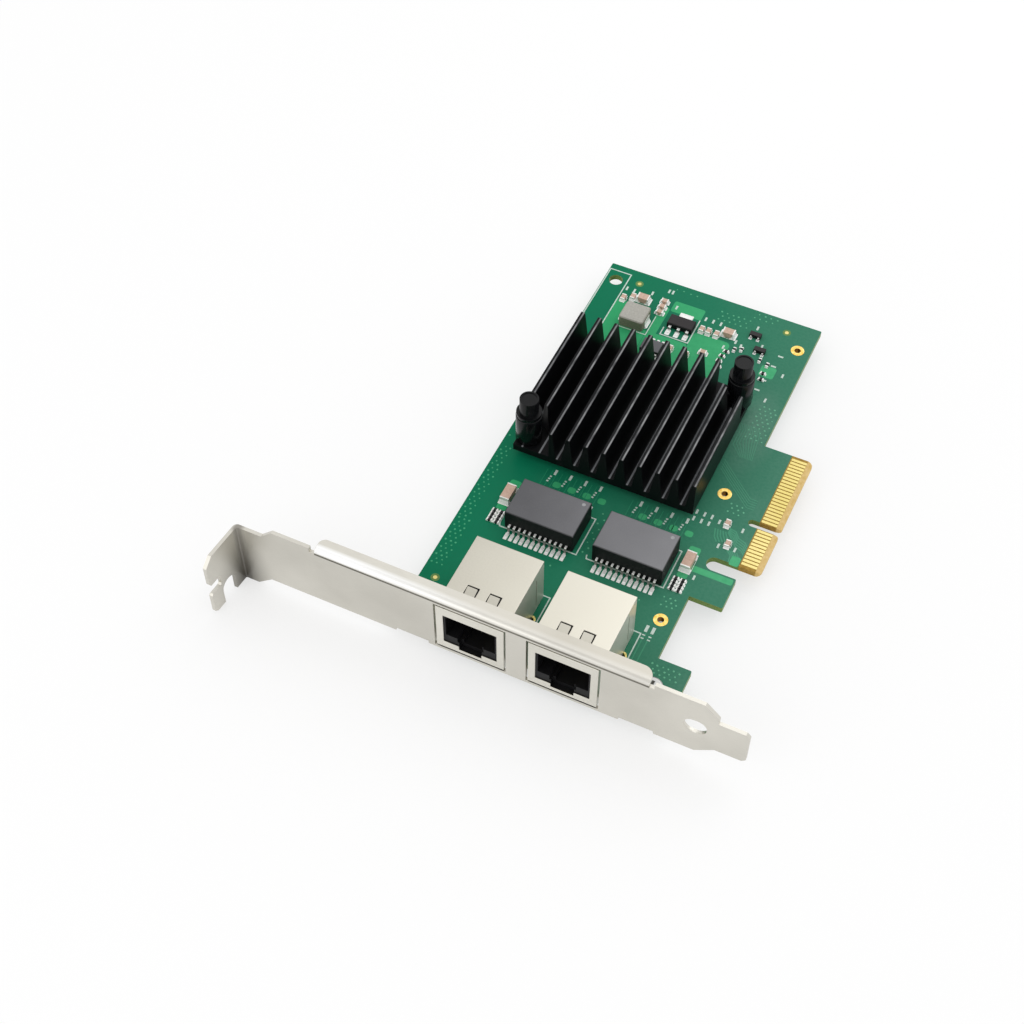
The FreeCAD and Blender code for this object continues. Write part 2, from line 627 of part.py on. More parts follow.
def tab_outline():
    """Outline of the screw tab, with its slot and its finger, as a thick prism."""
    start = PLATE_FRONT_Y - BEND_INSIDE
    end = PLATE_FRONT_Y - TAB_DEPTH
    notch_end = end + FINGER_NOTCH_DEPTH
    notch_low = NECK_BOTTOM_Z + FINGER_NOTCH_LOW
    notch_high = notch_low + FINGER_NOTCH_HEIGHT
    nose = FINGER_CHAMFER
    points = [
        (start, NECK_BOTTOM_Z), (start, NECK_TOP_Z),
        (end + TAB_CHAMFER, NECK_TOP_Z), (end, NECK_TOP_Z - TAB_CHAMFER),
        (end, notch_high + nose), (end + nose / 2, notch_high),
        (notch_end - nose / 2, notch_high), (notch_end, notch_high - nose / 2),
        (notch_end, notch_low + nose / 2), (notch_end - nose / 2, notch_low),
        (end + nose / 2, notch_low), (end, notch_low - nose / 2),
        (end, NECK_BOTTOM_Z + nose), (end + nose, NECK_BOTTOM_Z),
    ]
    x0 = TAB_OUTSIDE_X - TAB_DEPTH
    across = V(TAB_DEPTH + 2 * SHEET, 0, 0)
    tab = prism(points, across_x(x0), across)
    slot_y = PLATE_FRONT_Y - TAB_SLOT_DEPTH
    half = TAB_SLOT_WIDTH / 2
    slot_z = NECK_BOTTOM_Z + TAB_SLOT_TOP - half
    round_end = Part.makeCylinder(half, across.x, V(x0, slot_y, slot_z), V(1, 0, 0))
    below = NECK_BOTTOM_Z - OVERRUN
    channel = block(x0, x0 + across.x, slot_y - half, slot_y + half, below, slot_z)
    return cut_all(tab, [round_end, channel])


def flange():
    """Flange folded back from the upper edge of the plate."""
    x0 = TAB_OUTSIDE_X + FLANGE_START
    x1 = FLANGE_END_X
    middle_z = PLATE_TOP_Z - SHEET / 2
    back = PLATE_FRONT_Y + FLANGE_DEPTH
    low = PLATE_TOP_Z - RELIEF_DEPTH - SHEET
    path = [(PLATE_MIDDLE_Y, low), (PLATE_MIDDLE_Y, middle_z), (back, middle_z)]
    lip = bent_strip(path, SHEET, FLANGE_BEND_INSIDE + SHEET / 2, across_x(x0), V(x1 - x0, 0, 0))
    most = FLANGE_DEPTH - SHEET - FLANGE_BEND_INSIDE
    lip = round_corners(lip, [(x1, back)], min(FLANGE_CORNER, most))
    return round_corners(lip, [(x0, back)], min(FLANGE_TAB_CORNER, most))


def ear(x):
    """Ear folded back from the lower edge of the plate, flat against the solder face."""
    x0 = x - EAR_WIDTH / 2
    middle_z = PLATE_BOTTOM_Z + SHEET / 2
    back = BOARD_NEAR_Y + EAR_LENGTH
    path = [(PLATE_MIDDLE_Y, PLATE_BOTTOM_Z + 3 * SHEET), (PLATE_MIDDLE_Y, middle_z), (back, middle_z)]
    return bent_strip(path, SHEET, EAR_BEND_INSIDE + SHEET / 2, across_x(x0), V(EAR_WIDTH, 0, 0))


def locating_hole():
    """Stretched hole near the tongue end of the plate."""
    y0 = PLATE_FRONT_Y - OVERRUN
    depth = SHEET + 2 * OVERRUN
    tools = []
    for side in (-1, 1):
        centre = V(LOCATING_HOLE_X + side * LOCATING_HOLE_STRETCH / 2, y0, PLATE_MIDDLE_Z)
        tools.append(Part.makeCylinder(LOCATING_HOLE_RADIUS, depth, centre, V(0, 1, 0)))
    half = LOCATING_HOLE_STRETCH / 2
    low = PLATE_MIDDLE_Z - LOCATING_HOLE_RADIUS
    high = PLATE_MIDDLE_Z + LOCATING_HOLE_RADIUS
    tools.append(block(LOCATING_HOLE_X - half, LOCATING_HOLE_X + half, y0, y0 + depth, low, high))
    return fuse_all(tools)


def bracket():
    """Slot bracket, folded from one sheet."""
    y0 = PLATE_FRONT_Y - OVERRUN
    y1 = PLATE_BACK_Y + OVERRUN
    flange_start = TAB_OUTSIDE_X + FLANGE_START
    fold_low = PLATE_TOP_Z - SHEET - FLANGE_BEND_INSIDE
    relief_low = PLATE_TOP_Z - RELIEF_DEPTH
    tools = [
        block(flange_start, FLANGE_END_X, y0, y1, fold_low, PLATE_TOP_Z + OVERRUN),
        block(flange_start - RELIEF_WIDTH, flange_start, y0, y1, relief_low, PLATE_TOP_Z + OVERRUN),
        block(FLANGE_END_X, FLANGE_END_X + RELIEF_WIDTH, y0, y1, relief_low, PLATE_TOP_Z + OVERRUN),
        locating_hole(),
    ]
    for x in SCREW_XS:
        ear_top = PLATE_BOTTOM_Z + SHEET + EAR_BEND_INSIDE
        tools.append(block(x - EAR_WIDTH / 2, x + EAR_WIDTH / 2, y0, y1, PLATE_BOTTOM_Z - OVERRUN, ear_top))
    for x in JACK_XS:
        half = SHIELD_WIDTH / 2 + PORT_GAP
        tools.append(block(x - half, x + half, y0, y1, -SHIELD_APRON - PORT_GAP, SHIELD_HEIGHT + PORT_GAP))
    outline = fuse_all([plate_outline(), tab_outline()])
    plate = cut_all(bracket_sheet().common(outline), tools)
    whole = fuse_all([plate, flange()] + [ear(x) for x in SCREW_XS])
    below = PLATE_BOTTOM_Z - OVERRUN
    line_high = fold_low - FOLD_LINE_WIDTH
    line_low = line_high - FOLD_LINE_WIDTH
    line_back = PLATE_FRONT_Y + FOLD_LINE_DEPTH
    cuts = [block(flange_start, FLANGE_END_X, y0, line_back, line_low, line_high)]
    cuts += [rod(x, SCREW_Y, below, 0, SCREW_RADIUS + FIT_GAP) for x in SCREW_XS]
    return cut_all(whole, cuts)


def bracket_screw(x):
    """Pan head screw with a cross recess."""
    head = rod(x, SCREW_Y, 0, SCREW_HEAD_HEIGHT, SCREW_HEAD_RADIUS)
    rim = [e for e in head.Edges if e.BoundBox.ZMin > SCREW_HEAD_HEIGHT - 1e-6]
    head = head.makeFillet(SCREW_HEAD_HEIGHT * 0.4, rim)
    shank = rod(x, SCREW_Y, PLATE_BOTTOM_Z - SCREW_TAIL, OVERRUN / 2, SCREW_RADIUS)
    half_length = RECESS_LENGTH / 2
    half_width = RECESS_WIDTH / 2
    floor = SCREW_HEAD_HEIGHT - RECESS_DEPTH
    top = SCREW_HEAD_HEIGHT + OVERRUN
    y = SCREW_Y
    cross = [
        block(x - half_length, x + half_length, y - half_width, y + half_width, floor, top),
        block(x - half_width, x + half_width, y - half_length, y + half_length, floor, top),
    ]
    return cut_all(fuse_all([head, shank]), cross)


# ---------------------------------------------------------------- network ports

def plug_outline(jack_x):
    """Stepped outline of the plug cavity, as (x, z) points."""
    half = PLUG_WIDTH / 2
    step = KEY_STEP_WIDTH / 2
    groove = KEY_GROOVE_WIDTH / 2
    step_floor = PLUG_FLOOR - KEY_STEP_DEPTH
    groove_floor = step_floor - KEY_GROOVE_DEPTH
    side = [(half, PLUG_ROOF), (half, PLUG_FLOOR), (step, PLUG_FLOOR), (step, step_floor)]
    side += [(groove, step_floor), (groove, groove_floor)]
    return [(jack_x + x, z) for x, z in side] + [(jack_x - x, z) for x, z in reversed(side)]


def shield_side(inset, low):
    """Side view of the shield as (y, z) points, drawn in by the sheet on the walls and the roof."""
    apron_y = BOARD_NEAR_Y - FIT_GAP
    points = [(JACK_FRONT_Y + inset, low), (JACK_FRONT_Y + inset, SHIELD_HEIGHT - inset)]
    points.append((JACK_BACK_Y - inset, SHIELD_HEIGHT - inset))
    if inset:
        return points + [(JACK_BACK_Y - inset, low)]
    return points + [(JACK_BACK_Y, 0), (apron_y, 0), (apron_y, low)]


def spring_tab(x):
    """Small tongue of the shield's roof that springs up from the front of its window."""
    hinge = JACK_FRONT_Y + WINDOW_FROM_FRONT
    tip = hinge + SPRING_TAB_LENGTH
    under = SHIELD_HEIGHT - SHIELD_SHEET
    points = [
        (hinge - SHIELD_SHEET, under), (hinge, under), (tip, under + SPRING_TAB_RISE),
        (tip, SHIELD_HEIGHT + SPRING_TAB_RISE), (hinge, SHIELD_HEIGHT), (hinge - SHIELD_SHEET, SHIELD_HEIGHT),
    ]
    return prism(points, across_x(x - SPRING_TAB_WIDTH / 2), V(SPRING_TAB_WIDTH, 0, 0))


def mouth_outline(jack_x):
    """Opening in the front of the shield, with its notch for the latch, as (x, z) points."""
    half = MOUTH_WIDTH / 2
    notch = MOUTH_NOTCH_WIDTH / 2
    side = [(half, MOUTH_ROOF), (half, MOUTH_FLOOR), (notch, MOUTH_FLOOR), (notch, MOUTH_NOTCH_FLOOR)]
    return [(jack_x + x, z) for x, z in side] + [(jack_x - x, z) for x, z in reversed(side)]


def jack_shield(jack_x):
    """Metal shield of a port, folded from one sheet and open underneath."""
    half = SHIELD_WIDTH / 2
    outer = prism(shield_side(0, -SHIELD_APRON), across_x(jack_x - half), V(SHIELD_WIDTH, 0, 0))
    room = SHIELD_WIDTH - 2 * SHIELD_SHEET
    inside = shield_side(SHIELD_SHEET, -SHIELD_APRON - OVERRUN)
    inner = prism(inside, across_x(jack_x - room / 2), V(room, 0, 0))
    mouth = prism(mouth_outline(jack_x), across_y(JACK_FRONT_Y - OVERRUN), V(0, 2 * OVERRUN, 0))
    seam_y = JACK_BACK_Y - SEAM_FROM_BACK
    seam_top = SHIELD_HEIGHT - SEAM_FROM_TOP
    seam_low = seam_top - SEAM_LENGTH
    tools = [inner, mouth]
    tools.append(centred_block(jack_x, seam_y, 2 * SHIELD_WIDTH, SEAM_WIDTH, seam_low, seam_top))
    window_y = JACK_FRONT_Y + WINDOW_FROM_FRONT + WINDOW_LENGTH / 2
    window_xs = [jack_x + side * WINDOW_SPACING / 2 for side in (-1, 1)]
    low = SHIELD_HEIGHT - OVERRUN
    high = SHIELD_HEIGHT + OVERRUN
    tools += [centred_block(x, window_y, WINDOW_WIDTH, WINDOW_LENGTH, low, high) for x in window_xs]
    shell = cut_all(outer, tools)
    extras = [spring_tab(x) for x in window_xs]
    for x, y in leg_places(jack_x):
        extras.append(centred_block(x, y, SHIELD_SHEET, LEG_WIDTH, SOLDER_Z - TAIL_LENGTH, OVERRUN))
    return fuse_all([shell] + extras)


def wire_channels(jack_x):
    """Room in the housing for the spring contacts: over the cavity and down to each row of pins."""
    reach = (WIRE_COUNT - 1) * WIRE_PITCH / 2 + WIRE_SLOT / 2
    half = WIRE_SLOT / 2
    roof = WIRE_HEIGHT + half
    front = JACK_FRONT_Y + WIRE_FRONT - half
    cavity_back = JACK_FRONT_Y + SHIELD_SHEET + FIT_GAP + PLUG_DEPTH
    x0 = jack_x - reach
    x1 = jack_x + reach
    channels = [block(x0, x1, y - half, y + half, -OVERRUN, roof) for y in WIRE_ROW_YS]
    channels.append(block(x0, x1, front, max(WIRE_ROW_YS) + half, WIRE_HEIGHT - half, roof))
    channels.append(block(x0, x1, front, cavity_back, PLUG_ROOF - OVERRUN, roof))
    return channels


def jack_housing(jack_x):
    """Plastic insert of a port with the plug cavity, contact grooves and two pegs."""
    skin = SHIELD_SHEET + FIT_GAP
    half = SHIELD_WIDTH / 2 - skin
    front = JACK_FRONT_Y + skin
    lip_back = BOARD_NEAR_Y - FIT_GAP
    lip_low = -SHIELD_APRON + FIT_GAP
    body = [
        block(jack_x - half, jack_x + half, front, JACK_BACK_Y - skin, 0, SHIELD_HEIGHT - skin),
        block(jack_x - half, jack_x + half, front, lip_back, lip_low, OVERRUN / 2),
    ]
    for x, y in peg_places(jack_x):
        body.append(rod(x, y, SOLDER_Z - PEG_TAIL, OVERRUN / 2, PEG_RADIUS))
    cavity = prism(plug_outline(jack_x), across_y(front - OVERRUN), V(0, PLUG_DEPTH + OVERRUN, 0))
    notch_back = front + LIP_NOTCH_DEPTH
    notch_half = MOUTH_NOTCH_WIDTH / 2
    notch = block(jack_x - notch_half, jack_x + notch_half, front - OVERRUN, notch_back,
                  MOUTH_NOTCH_FLOOR, PLUG_FLOOR - KEY_STEP_DEPTH)
    return cut_all(fuse_all(body), [cavity, notch] + wire_channels(jack_x))


def jack_contact(x, row_y):
    """Spring wire from a pin below the board, over the cavity and back down into it."""
    path = [
        (row_y, SOLDER_Z - TAIL_LENGTH),
        (row_y, WIRE_HEIGHT),
        (JACK_FRONT_Y + WIRE_FRONT + WIRE_THICKNESS, WIRE_HEIGHT),
        (JACK_FRONT_Y + WIRE_TIP_BACK, WIRE_TIP_HEIGHT),
    ]
    return bent_strip(path, WIRE_THICKNESS, WIRE_BEND, across_x(x - WIRE_WIDTH / 2), V(WIRE_WIDTH, 0, 0))


# ---------------------------------------------------------------- line transformers

def lan_transformer(x):
    """Moulded body of a line transformer."""
    half_x = COIL_BODY_X / 2
    half_y = COIL_BODY_Y / 2
    body = block(x - half_x, x + half_x, COIL_Y - half_y, COIL_Y + half_y, COIL_STANDOFF, COIL_BODY_TOP)
    return chamfer_top(body, COIL_CHAMFER)


def lan_transformer_leads(x):
    """Leads along both long sides of a line transformer."""
    leads = []
    for side in (-1, 1):
        y = COIL_Y + side * COIL_BODY_Y / 2
        leads += lead_row(x, y, side, COIL_LEADS, COIL_LEAD_PITCH, COIL_LEAD_EXIT, COIL_LEAD_REACH,
                          COIL_LEAD_SHEET, COIL_LEAD_WIDTH)
    return Part.makeCompound(leads)


# ---------------------------------------------------------------- heat sink and controller

def fin(x, left_tip, right_tip):
    """Fin along Y with a narrow tip and a wide root; the tips are the two edges of its top."""
    taper = (FIN_ROOT - FIN_TIP) / 2
    left_root = left_tip - taper if left_tip > SINK_X0 + 1e-6 else left_tip
    right_root = right_tip + taper if right_tip < SINK_X1 - 1e-6 else right_tip
    points = [(left_root, SINK_FLOOR - SINK_BASE / 2), (right_root, SINK_FLOOR - SINK_BASE / 2)]
    points += [(right_root, SINK_FLOOR), (right_tip, SINK_TOP), (left_tip, SINK_TOP), (left_root, SINK_FLOOR)]
    return prism(points, across_y(SINK_Y0), V(0, SINK_Y, 0))


def heat_sink():
    """Finned heat sink with two round clearings for its push pins."""
    pitch = (SINK_X - FIN_TIP) / (FIN_COUNT - 1)
    fins = []
    for i in range(FIN_COUNT):
        left_tip = SINK_X0 + i * pitch
        fins.append(fin(left_tip + FIN_TIP / 2, left_tip, left_tip + FIN_TIP))
    base = block(SINK_X0, SINK_X1, SINK_Y0, SINK_Y1, SINK_BOTTOM, SINK_FLOOR)
    body = fuse_all([base] + fins)
    corners = ((SINK_X0, SINK_Y0), (SINK_X1, SINK_Y1))
    tools = [rod(x, y, SINK_FLOOR, SINK_TOP + OVERRUN, POCKET_RADIUS) for x, y in corners]
    tools += [rod(x, y, SINK_BOTTOM - OVERRUN, SINK_FLOOR + OVERRUN, PIN_HOLE_RADIUS) for x, y in PINS_AT]
    return cut_all(body, tools)


def controller_chip():
    """Network controller under the heat sink."""
    return centred_block(SINK_MIDDLE_X, SINK_MIDDLE_Y, CONTROLLER_SIZE, CONTROLLER_SIZE, 0, CONTROLLER_HEIGHT)


def thermal_pad():
    """Soft pad between the controller and the heat sink."""
    return centred_block(SINK_MIDDLE_X, SINK_MIDDLE_Y, PAD_SIZE, PAD_SIZE, CONTROLLER_HEIGHT, SINK_BOTTOM)


def clock_crystal():
    """Crystal can beside the controller, below the heat sink's overhang."""
    x = SINK_MIDDLE_X - CONTROLLER_SIZE / 2 - CRYSTAL_GAP - CRYSTAL_X / 2
    can = centred_block(x, SINK_MIDDLE_Y, CRYSTAL_X, CRYSTAL_Y, 0, CRYSTAL_HEIGHT)
    return chamfer_top(can, CRYSTAL_HEIGHT / 5)


def push_pin(x, y):
    """Pin with a cap, a ring, a shaft through the heat sink and the board, and a split barb."""
    bottom = SOLDER_Z - FIT_GAP
    tip = bottom - BARB_LENGTH
    cap = rod(x, y, CAP_BOTTOM, CAP_TOP, PIN_CAP_RADIUS)
    cap = cap.cut(rod(x, y, CAP_TOP - PIN_CAP_DISH, CAP_TOP + OVERRUN, PIN_CAP_RADIUS - PIN_CAP_RIM))
    ring = rod(x, y, RING_BOTTOM, CAP_BOTTOM, PIN_RING_RADIUS)
    shaft = rod(x, y, bottom, RING_BOTTOM, PIN_SHAFT_RADIUS)
    barb = Part.makeCone(BARB_TIP_RADIUS, BARB_RADIUS, BARB_LENGTH, V(x, y, tip))
    split_top = SOLDER_Z + BOARD_THICKNESS / 2
    split = centred_block(x, y, BARB_SPLIT, 2 * BARB_RADIUS + OVERRUN, tip - OVERRUN, split_top)
    return fuse_all([cap, ring, shaft, barb]).cut(split)


def push_pin_barrel(x, y):
    """Barrel that stands on the heat sink round a pin and its spring."""
    return tube(x, y, SINK_FLOOR, RING_BOTTOM, BARREL_RADIUS, BARREL_RADIUS - BARREL_WALL)


def push_pin_spring(x, y):
    """Coil spring of square wire round the shaft of a pin, inside its barrel."""
    radius = (PIN_SHAFT_RADIUS + BARREL_RADIUS - BARREL_WALL) / 2
    half = SPRING_WIRE / 2
    height = BARREL_HEIGHT - SPRING_WIRE - 2 * FIT_GAP
    helix = Part.makeHelix(height / SPRING_TURNS, height, radius)
    section = Part.makePolygon([V(radius + a, 0, b) for a, b in
                                ((-half, -half), (half, -half), (half, half), (-half, half), (-half, -half))])
    spring = Part.Wire(helix.Edges).makePipeShell([section], True, True)
    spring.translate(V(x, y, SINK_FLOOR + FIT_GAP + half))
    return spring


# ---------------------------------------------------------------- small parts

def from_corner(place):
    """Point in from the left edge and back from the far edge of the board."""
    return BOARD_LEFT_X + place[0], BOARD_FAR_Y - place[1]


def chip_part(x, y, along_x, size):
    """Body and the two metal ends of a two-terminal chip part."""
    length, width, height = size
    lip = CHIP_END_LIP
    core = length - 2 * CHIP_END
    shapes = []
    for offset, run, grow in ((0, core, 0), (-1, CHIP_END, lip), (1, CHIP_END, lip)):
        shift = offset * (core + CHIP_END) / 2
        if along_x:
            shapes.append(centred_block(x + shift, y, run, width + 2 * grow, 0, height + grow))
        else:
            shapes.append(centred_block(x, y + shift, width + 2 * grow, run, 0, height + grow))
    return shapes


def chip_parts(places, size):
    """Bodies and ends of several equal chip parts."""
    bodies = []
    ends = []
    for x, y, along_x in places:
        shapes = chip_part(x, y, along_x, size)
        bodies.append(shapes[0])
        ends += shapes[1:]
    return bodies, ends


def corner_places(places):
    """Chip places given from the far corner, as places on the board."""
    return [from_corner(place) + (place[2],) for place in places]


def line_part_xs():
    """Columns outside the two transformers where their line parts stand."""
    reach = COIL_BODY_X / 2 + LINE_PART_GAP - BIG_CAPACITOR[1] / 2
    return COIL_XS[0] - reach, COIL_XS[1] + reach


def line_resistor_places():
    """Blocks of resistors beside the two transformers."""
    places = []
    for x in line_part_xs():
        for step_x in spread(LINE_RESISTOR_COLUMNS, LINE_RESISTOR_STEP_X):
            for step_y in spread(LINE_RESISTOR_ROWS, LINE_RESISTOR_STEP_Y):
                places.append((x + step_x, COIL_Y + LINE_RESISTOR_SHIFT + step_y, True))
    return places


def power_inductor():
    """Moulded power inductor."""
    x, y = from_corner(CHOKE_AT)
    body = centred_block(x, y, CHOKE_X, CHOKE_Y, 0, CHOKE_HEIGHT)
    corners = [(x + a * CHOKE_X / 2, y + b * CHOKE_Y / 2) for a in (-1, 1) for b in (-1, 1)]
    return chamfer_top(round_corners(body, corners, CHOKE_CORNER), CHOKE_HEIGHT / 12)


def power_inductor_terminals():
    """Flat terminals on two sides of the power inductor."""
    x, y = from_corner(CHOKE_AT)
    width = CHOKE_TERMINAL_WIDTH
    plates = []
    for side in (-1, 1):
        plate_x = x + side * (CHOKE_X + CHOKE_TERMINAL) / 2
        plates.append(centred_block(plate_x, y, CHOKE_TERMINAL, width, 0, CHOKE_TERMINAL_HEIGHT))
    return Part.makeCompound(plates)


def voltage_regulator():
    """Moulded body of the voltage regulator."""
    x, y = from_corner(REGULATOR_AT)
    body = centred_block(x, y, REGULATOR_X, REGULATOR_Y, 0, REGULATOR_HEIGHT)
    return chamfer_top(body, REGULATOR_HEIGHT / 8)


def voltage_regulator_leads():
    """Three leads and the broad tab of the voltage regulator."""
    x, y = from_corner(REGULATOR_AT)
    half = REGULATOR_Y / 2
    exit_height = REGULATOR_HEIGHT / 2
    leads = lead_row(x, y - half, -1, 3, REGULATOR_LEAD_PITCH, exit_height, REGULATOR_REACH, LEAD_SHEET,
                     REGULATOR_LEAD_WIDTH)
    leads.append(gull_lead(x, y + half, 1, exit_height, REGULATOR_REACH, LEAD_SHEET, REGULATOR_TAB_WIDTH))
    return Part.makeCompound(leads)


def memory_chip():
    """Small memory chip between the heat sink and the power parts."""
    x, y = from_corner(MEMORY_AT)
    return chamfer_top(centred_block(x, y, MEMORY_X, MEMORY_Y, 0, MEMORY_HEIGHT), MEMORY_HEIGHT / 10)


def memory_chip_leads():
    """Leads of the memory chip."""
    x, y = from_corner(MEMORY_AT)
    leads = []
    for side in (-1, 1):
        leads += lead_row(x, y + side * MEMORY_Y / 2, side, MEMORY_LEADS, COIL_LEAD_PITCH, MEMORY_HEIGHT / 2,
                          MEMORY_REACH, LEAD_SHEET, COIL_LEAD_WIDTH)
    return Part.makeCompound(leads)


def transistor_bodies():
    """Moulded bodies of the small transistors."""
    bodies = []
    for place in TRANSISTORS_AT:
        x, y = from_corner(place)
        bodies.append(centred_block(x, y, TRANSISTOR_X, TRANSISTOR_Y, 0, TRANSISTOR_HEIGHT))
    return Part.makeCompound(bodies)


def transistor_leads():
    """Two leads on one side of each transistor and one on the other."""
    leads = []
    exit_height = TRANSISTOR_HEIGHT / 2
    half = TRANSISTOR_Y / 2
    for place in TRANSISTORS_AT:
        x, y = from_corner(place)
        pitch = TRANSISTOR_X * 2 / 3
        width = 2 * LEAD_SHEET
        leads += lead_row(x, y - half, -1, 2, pitch, exit_height, TRANSISTOR_REACH, LEAD_SHEET, width)
        leads.append(gull_lead(x, y + half, 1, exit_height, TRANSISTOR_REACH, LEAD_SHEET, width))
    return Part.makeCompound(leads)


# ---------------------------------------------------------------- nodes

nodes = {
    "circuit_board": circuit_board(),
    "edge_contacts_component_side": edge_contacts(0),
    "edge_contacts_solder_side": edge_contacts(SOLDER_Z - COPPER),
    "plated_holes": Part.makeCompound([plated_hole(x, y) for x, y in plated_hole_places()]),
    "shield_leg_pads": shield_leg_pads(),
    "bracket": bracket(),
    "bracket_screws": Part.makeCompound([bracket_screw(x) for x in SCREW_XS]),
    "heat_sink": heat_sink(),
    "thermal_pad": thermal_pad(),
    "controller_chip": controller_chip(),
    "clock_crystal": clock_crystal(),
    "push_pin_springs": Part.makeCompound([push_pin_spring(x, y) for x, y in PINS_AT]),
    "power_inductor": power_inductor(),
    "power_inductor_terminals": power_inductor_terminals(),
    "voltage_regulator": voltage_regulator(),
    "voltage_regulator_leads": voltage_regulator_leads(),
    "memory_chip": memory_chip(),
    "memory_chip_leads": memory_chip_leads(),
    "transistor_bodies": transistor_bodies(),
    "transistor_leads": transistor_leads(),
}

for number, (jack_x, coil_x, pin_at) in enumerate(zip(JACK_XS, COIL_XS, PINS_AT), 1):
    nodes["jack_shield_%d" % number] = jack_shield(jack_x)
    nodes["jack_housing_%d" % number] = jack_housing(jack_x)
    contacts = [jack_contact(x, y) for x, y in wire_places(jack_x)]
    nodes["jack_contacts_%d" % number] = Part.makeCompound(contacts)
    nodes["lan_transformer_%d" % number] = lan_transformer(coil_x)
    nodes["lan_transformer_leads_%d" % number] = lan_transformer_leads(coil_x)
    nodes["push_pin_%d" % number] = push_pin(*pin_at)
    nodes["push_pin_barrel_%d" % number] = push_pin_barrel(*pin_at)

line_capacitors = [(x, COIL_Y + LINE_CAPACITOR_SHIFT, False) for x in line_part_xs()]
big = chip_parts(line_capacitors, BIG_CAPACITOR)
middle = chip_parts(corner_places(MIDDLE_CAPACITORS), MIDDLE_CAPACITOR)
small = chip_parts(corner_places(SMALL_CAPACITORS) + list(CARD_EDGE_CAPACITORS), SMALL_CAPACITOR)
resistors = chip_parts(corner_places(RESISTORS) + line_resistor_places(), RESISTOR)
nodes["large_capacitor_bodies"] = Part.makeCompound(big[0] + middle[0])
nodes["large_capacitor_ends"] = Part.makeCompound(big[1] + middle[1])
nodes["chip_capacitor_bodies"] = Part.makeCompound(small[0])
nodes["chip_capacitor_ends"] = Part.makeCompound(small[1])
nodes["resistor_bodies"] = Part.makeCompound(resistors[0])
nodes["resistor_ends"] = Part.makeCompound(resistors[1])

for name, shape in nodes.items():
    shape.exportStep("parts/%s.step" % name)
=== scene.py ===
import json
import math
import random

import bpy
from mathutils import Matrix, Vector

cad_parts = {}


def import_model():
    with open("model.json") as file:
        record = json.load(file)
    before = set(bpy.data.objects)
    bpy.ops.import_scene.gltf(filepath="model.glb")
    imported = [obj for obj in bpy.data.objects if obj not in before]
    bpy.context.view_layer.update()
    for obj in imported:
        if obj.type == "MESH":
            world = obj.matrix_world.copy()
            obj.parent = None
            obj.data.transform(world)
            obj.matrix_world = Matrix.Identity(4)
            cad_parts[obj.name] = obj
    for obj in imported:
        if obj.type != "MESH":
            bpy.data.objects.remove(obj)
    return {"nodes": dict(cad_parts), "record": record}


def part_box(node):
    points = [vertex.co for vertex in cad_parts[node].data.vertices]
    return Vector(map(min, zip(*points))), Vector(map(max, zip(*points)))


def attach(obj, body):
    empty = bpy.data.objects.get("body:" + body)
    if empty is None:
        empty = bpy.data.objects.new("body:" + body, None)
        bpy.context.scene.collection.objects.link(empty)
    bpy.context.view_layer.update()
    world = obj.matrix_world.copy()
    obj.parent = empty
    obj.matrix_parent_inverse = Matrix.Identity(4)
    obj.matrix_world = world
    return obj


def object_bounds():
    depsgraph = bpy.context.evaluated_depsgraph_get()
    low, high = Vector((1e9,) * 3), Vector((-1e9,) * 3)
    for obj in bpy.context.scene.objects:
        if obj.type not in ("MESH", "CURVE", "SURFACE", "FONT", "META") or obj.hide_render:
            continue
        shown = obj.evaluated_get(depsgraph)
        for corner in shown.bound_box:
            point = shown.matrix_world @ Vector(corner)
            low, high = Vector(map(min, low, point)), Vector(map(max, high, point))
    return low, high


# Looks of the network interface card, in the part's own frame: +X out of the card edge, +Y away from the
# slot bracket, +Z up from the component face of the board. The scene is in metres. Sizes and places below
# are millimetres, scaled by MM where a mesh, the camera or a material takes them. Only the floor and the
# lamps are given in metres.

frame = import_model()
nodes = frame["nodes"]
cad_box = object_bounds()

MM = 0.001
random.seed(7)

# Heights of the thin layers on the board
SUNK = 0.01                  # how far each layer starts below the face that it lies on
POUR_RISE = 0.02
PRINT_RISE = 0.04
PAD_RISE = 0.05
VIA_RISE = 0.05

GOLD_START = -5.25           # edge of the solder mask at the card edge
BEVEL_START = -1.3           # outer ends of the contacts, where the bevel begins
TONGUE_START = -13.5         # the gold zone lies beyond this Y, clear of the retention tabs
RING_INSET = 1.6             # rings of the plated holes to the long edge of the board

# Bracket
CROOK_X = -105.6             # inside of the bent screw tab, at its lower end
CROOK_Z = -4.5
CROOK_REACH = 8.5            # how far the painted shade in the crook spreads
SEAM_X = -105.5              # inside of the tab's bend
FLANGE_START = -85.98        # ends of the flange
FLANGE_END = -8.5
FOLD_DEPTH = 1.11            # height of the fold between the plate and the top of the flange
FOLD_HIGHLIGHT_END = -46.0            # the painted highlight along the fold fades out towards this X

# Heat sink
FIN_COUNT = 11
FIN_TIP = 1.0                # thickness of a fin at its tip and at its root
FIN_ROOT = 3.1
SINK_BASE = 2.0

# Widths of the lines on the board
TRACK = 0.18
WIDE_TRACK = 0.34
OUTLINE = 0.3
FINE_OUTLINE = 0.14

# Camera
LENS = 60.72
CAMERA_PLACE = (45.59, -237.26, 312.72)
CAMERA_AZIMUTH = 25.42       # degrees
CAMERA_ELEVATION = 52.5


def box_mm(name):
    """Lowest and highest corner of a CAD node, in millimetres."""
    low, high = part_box(name)
    return [c / MM for c in low], [c / MM for c in high]


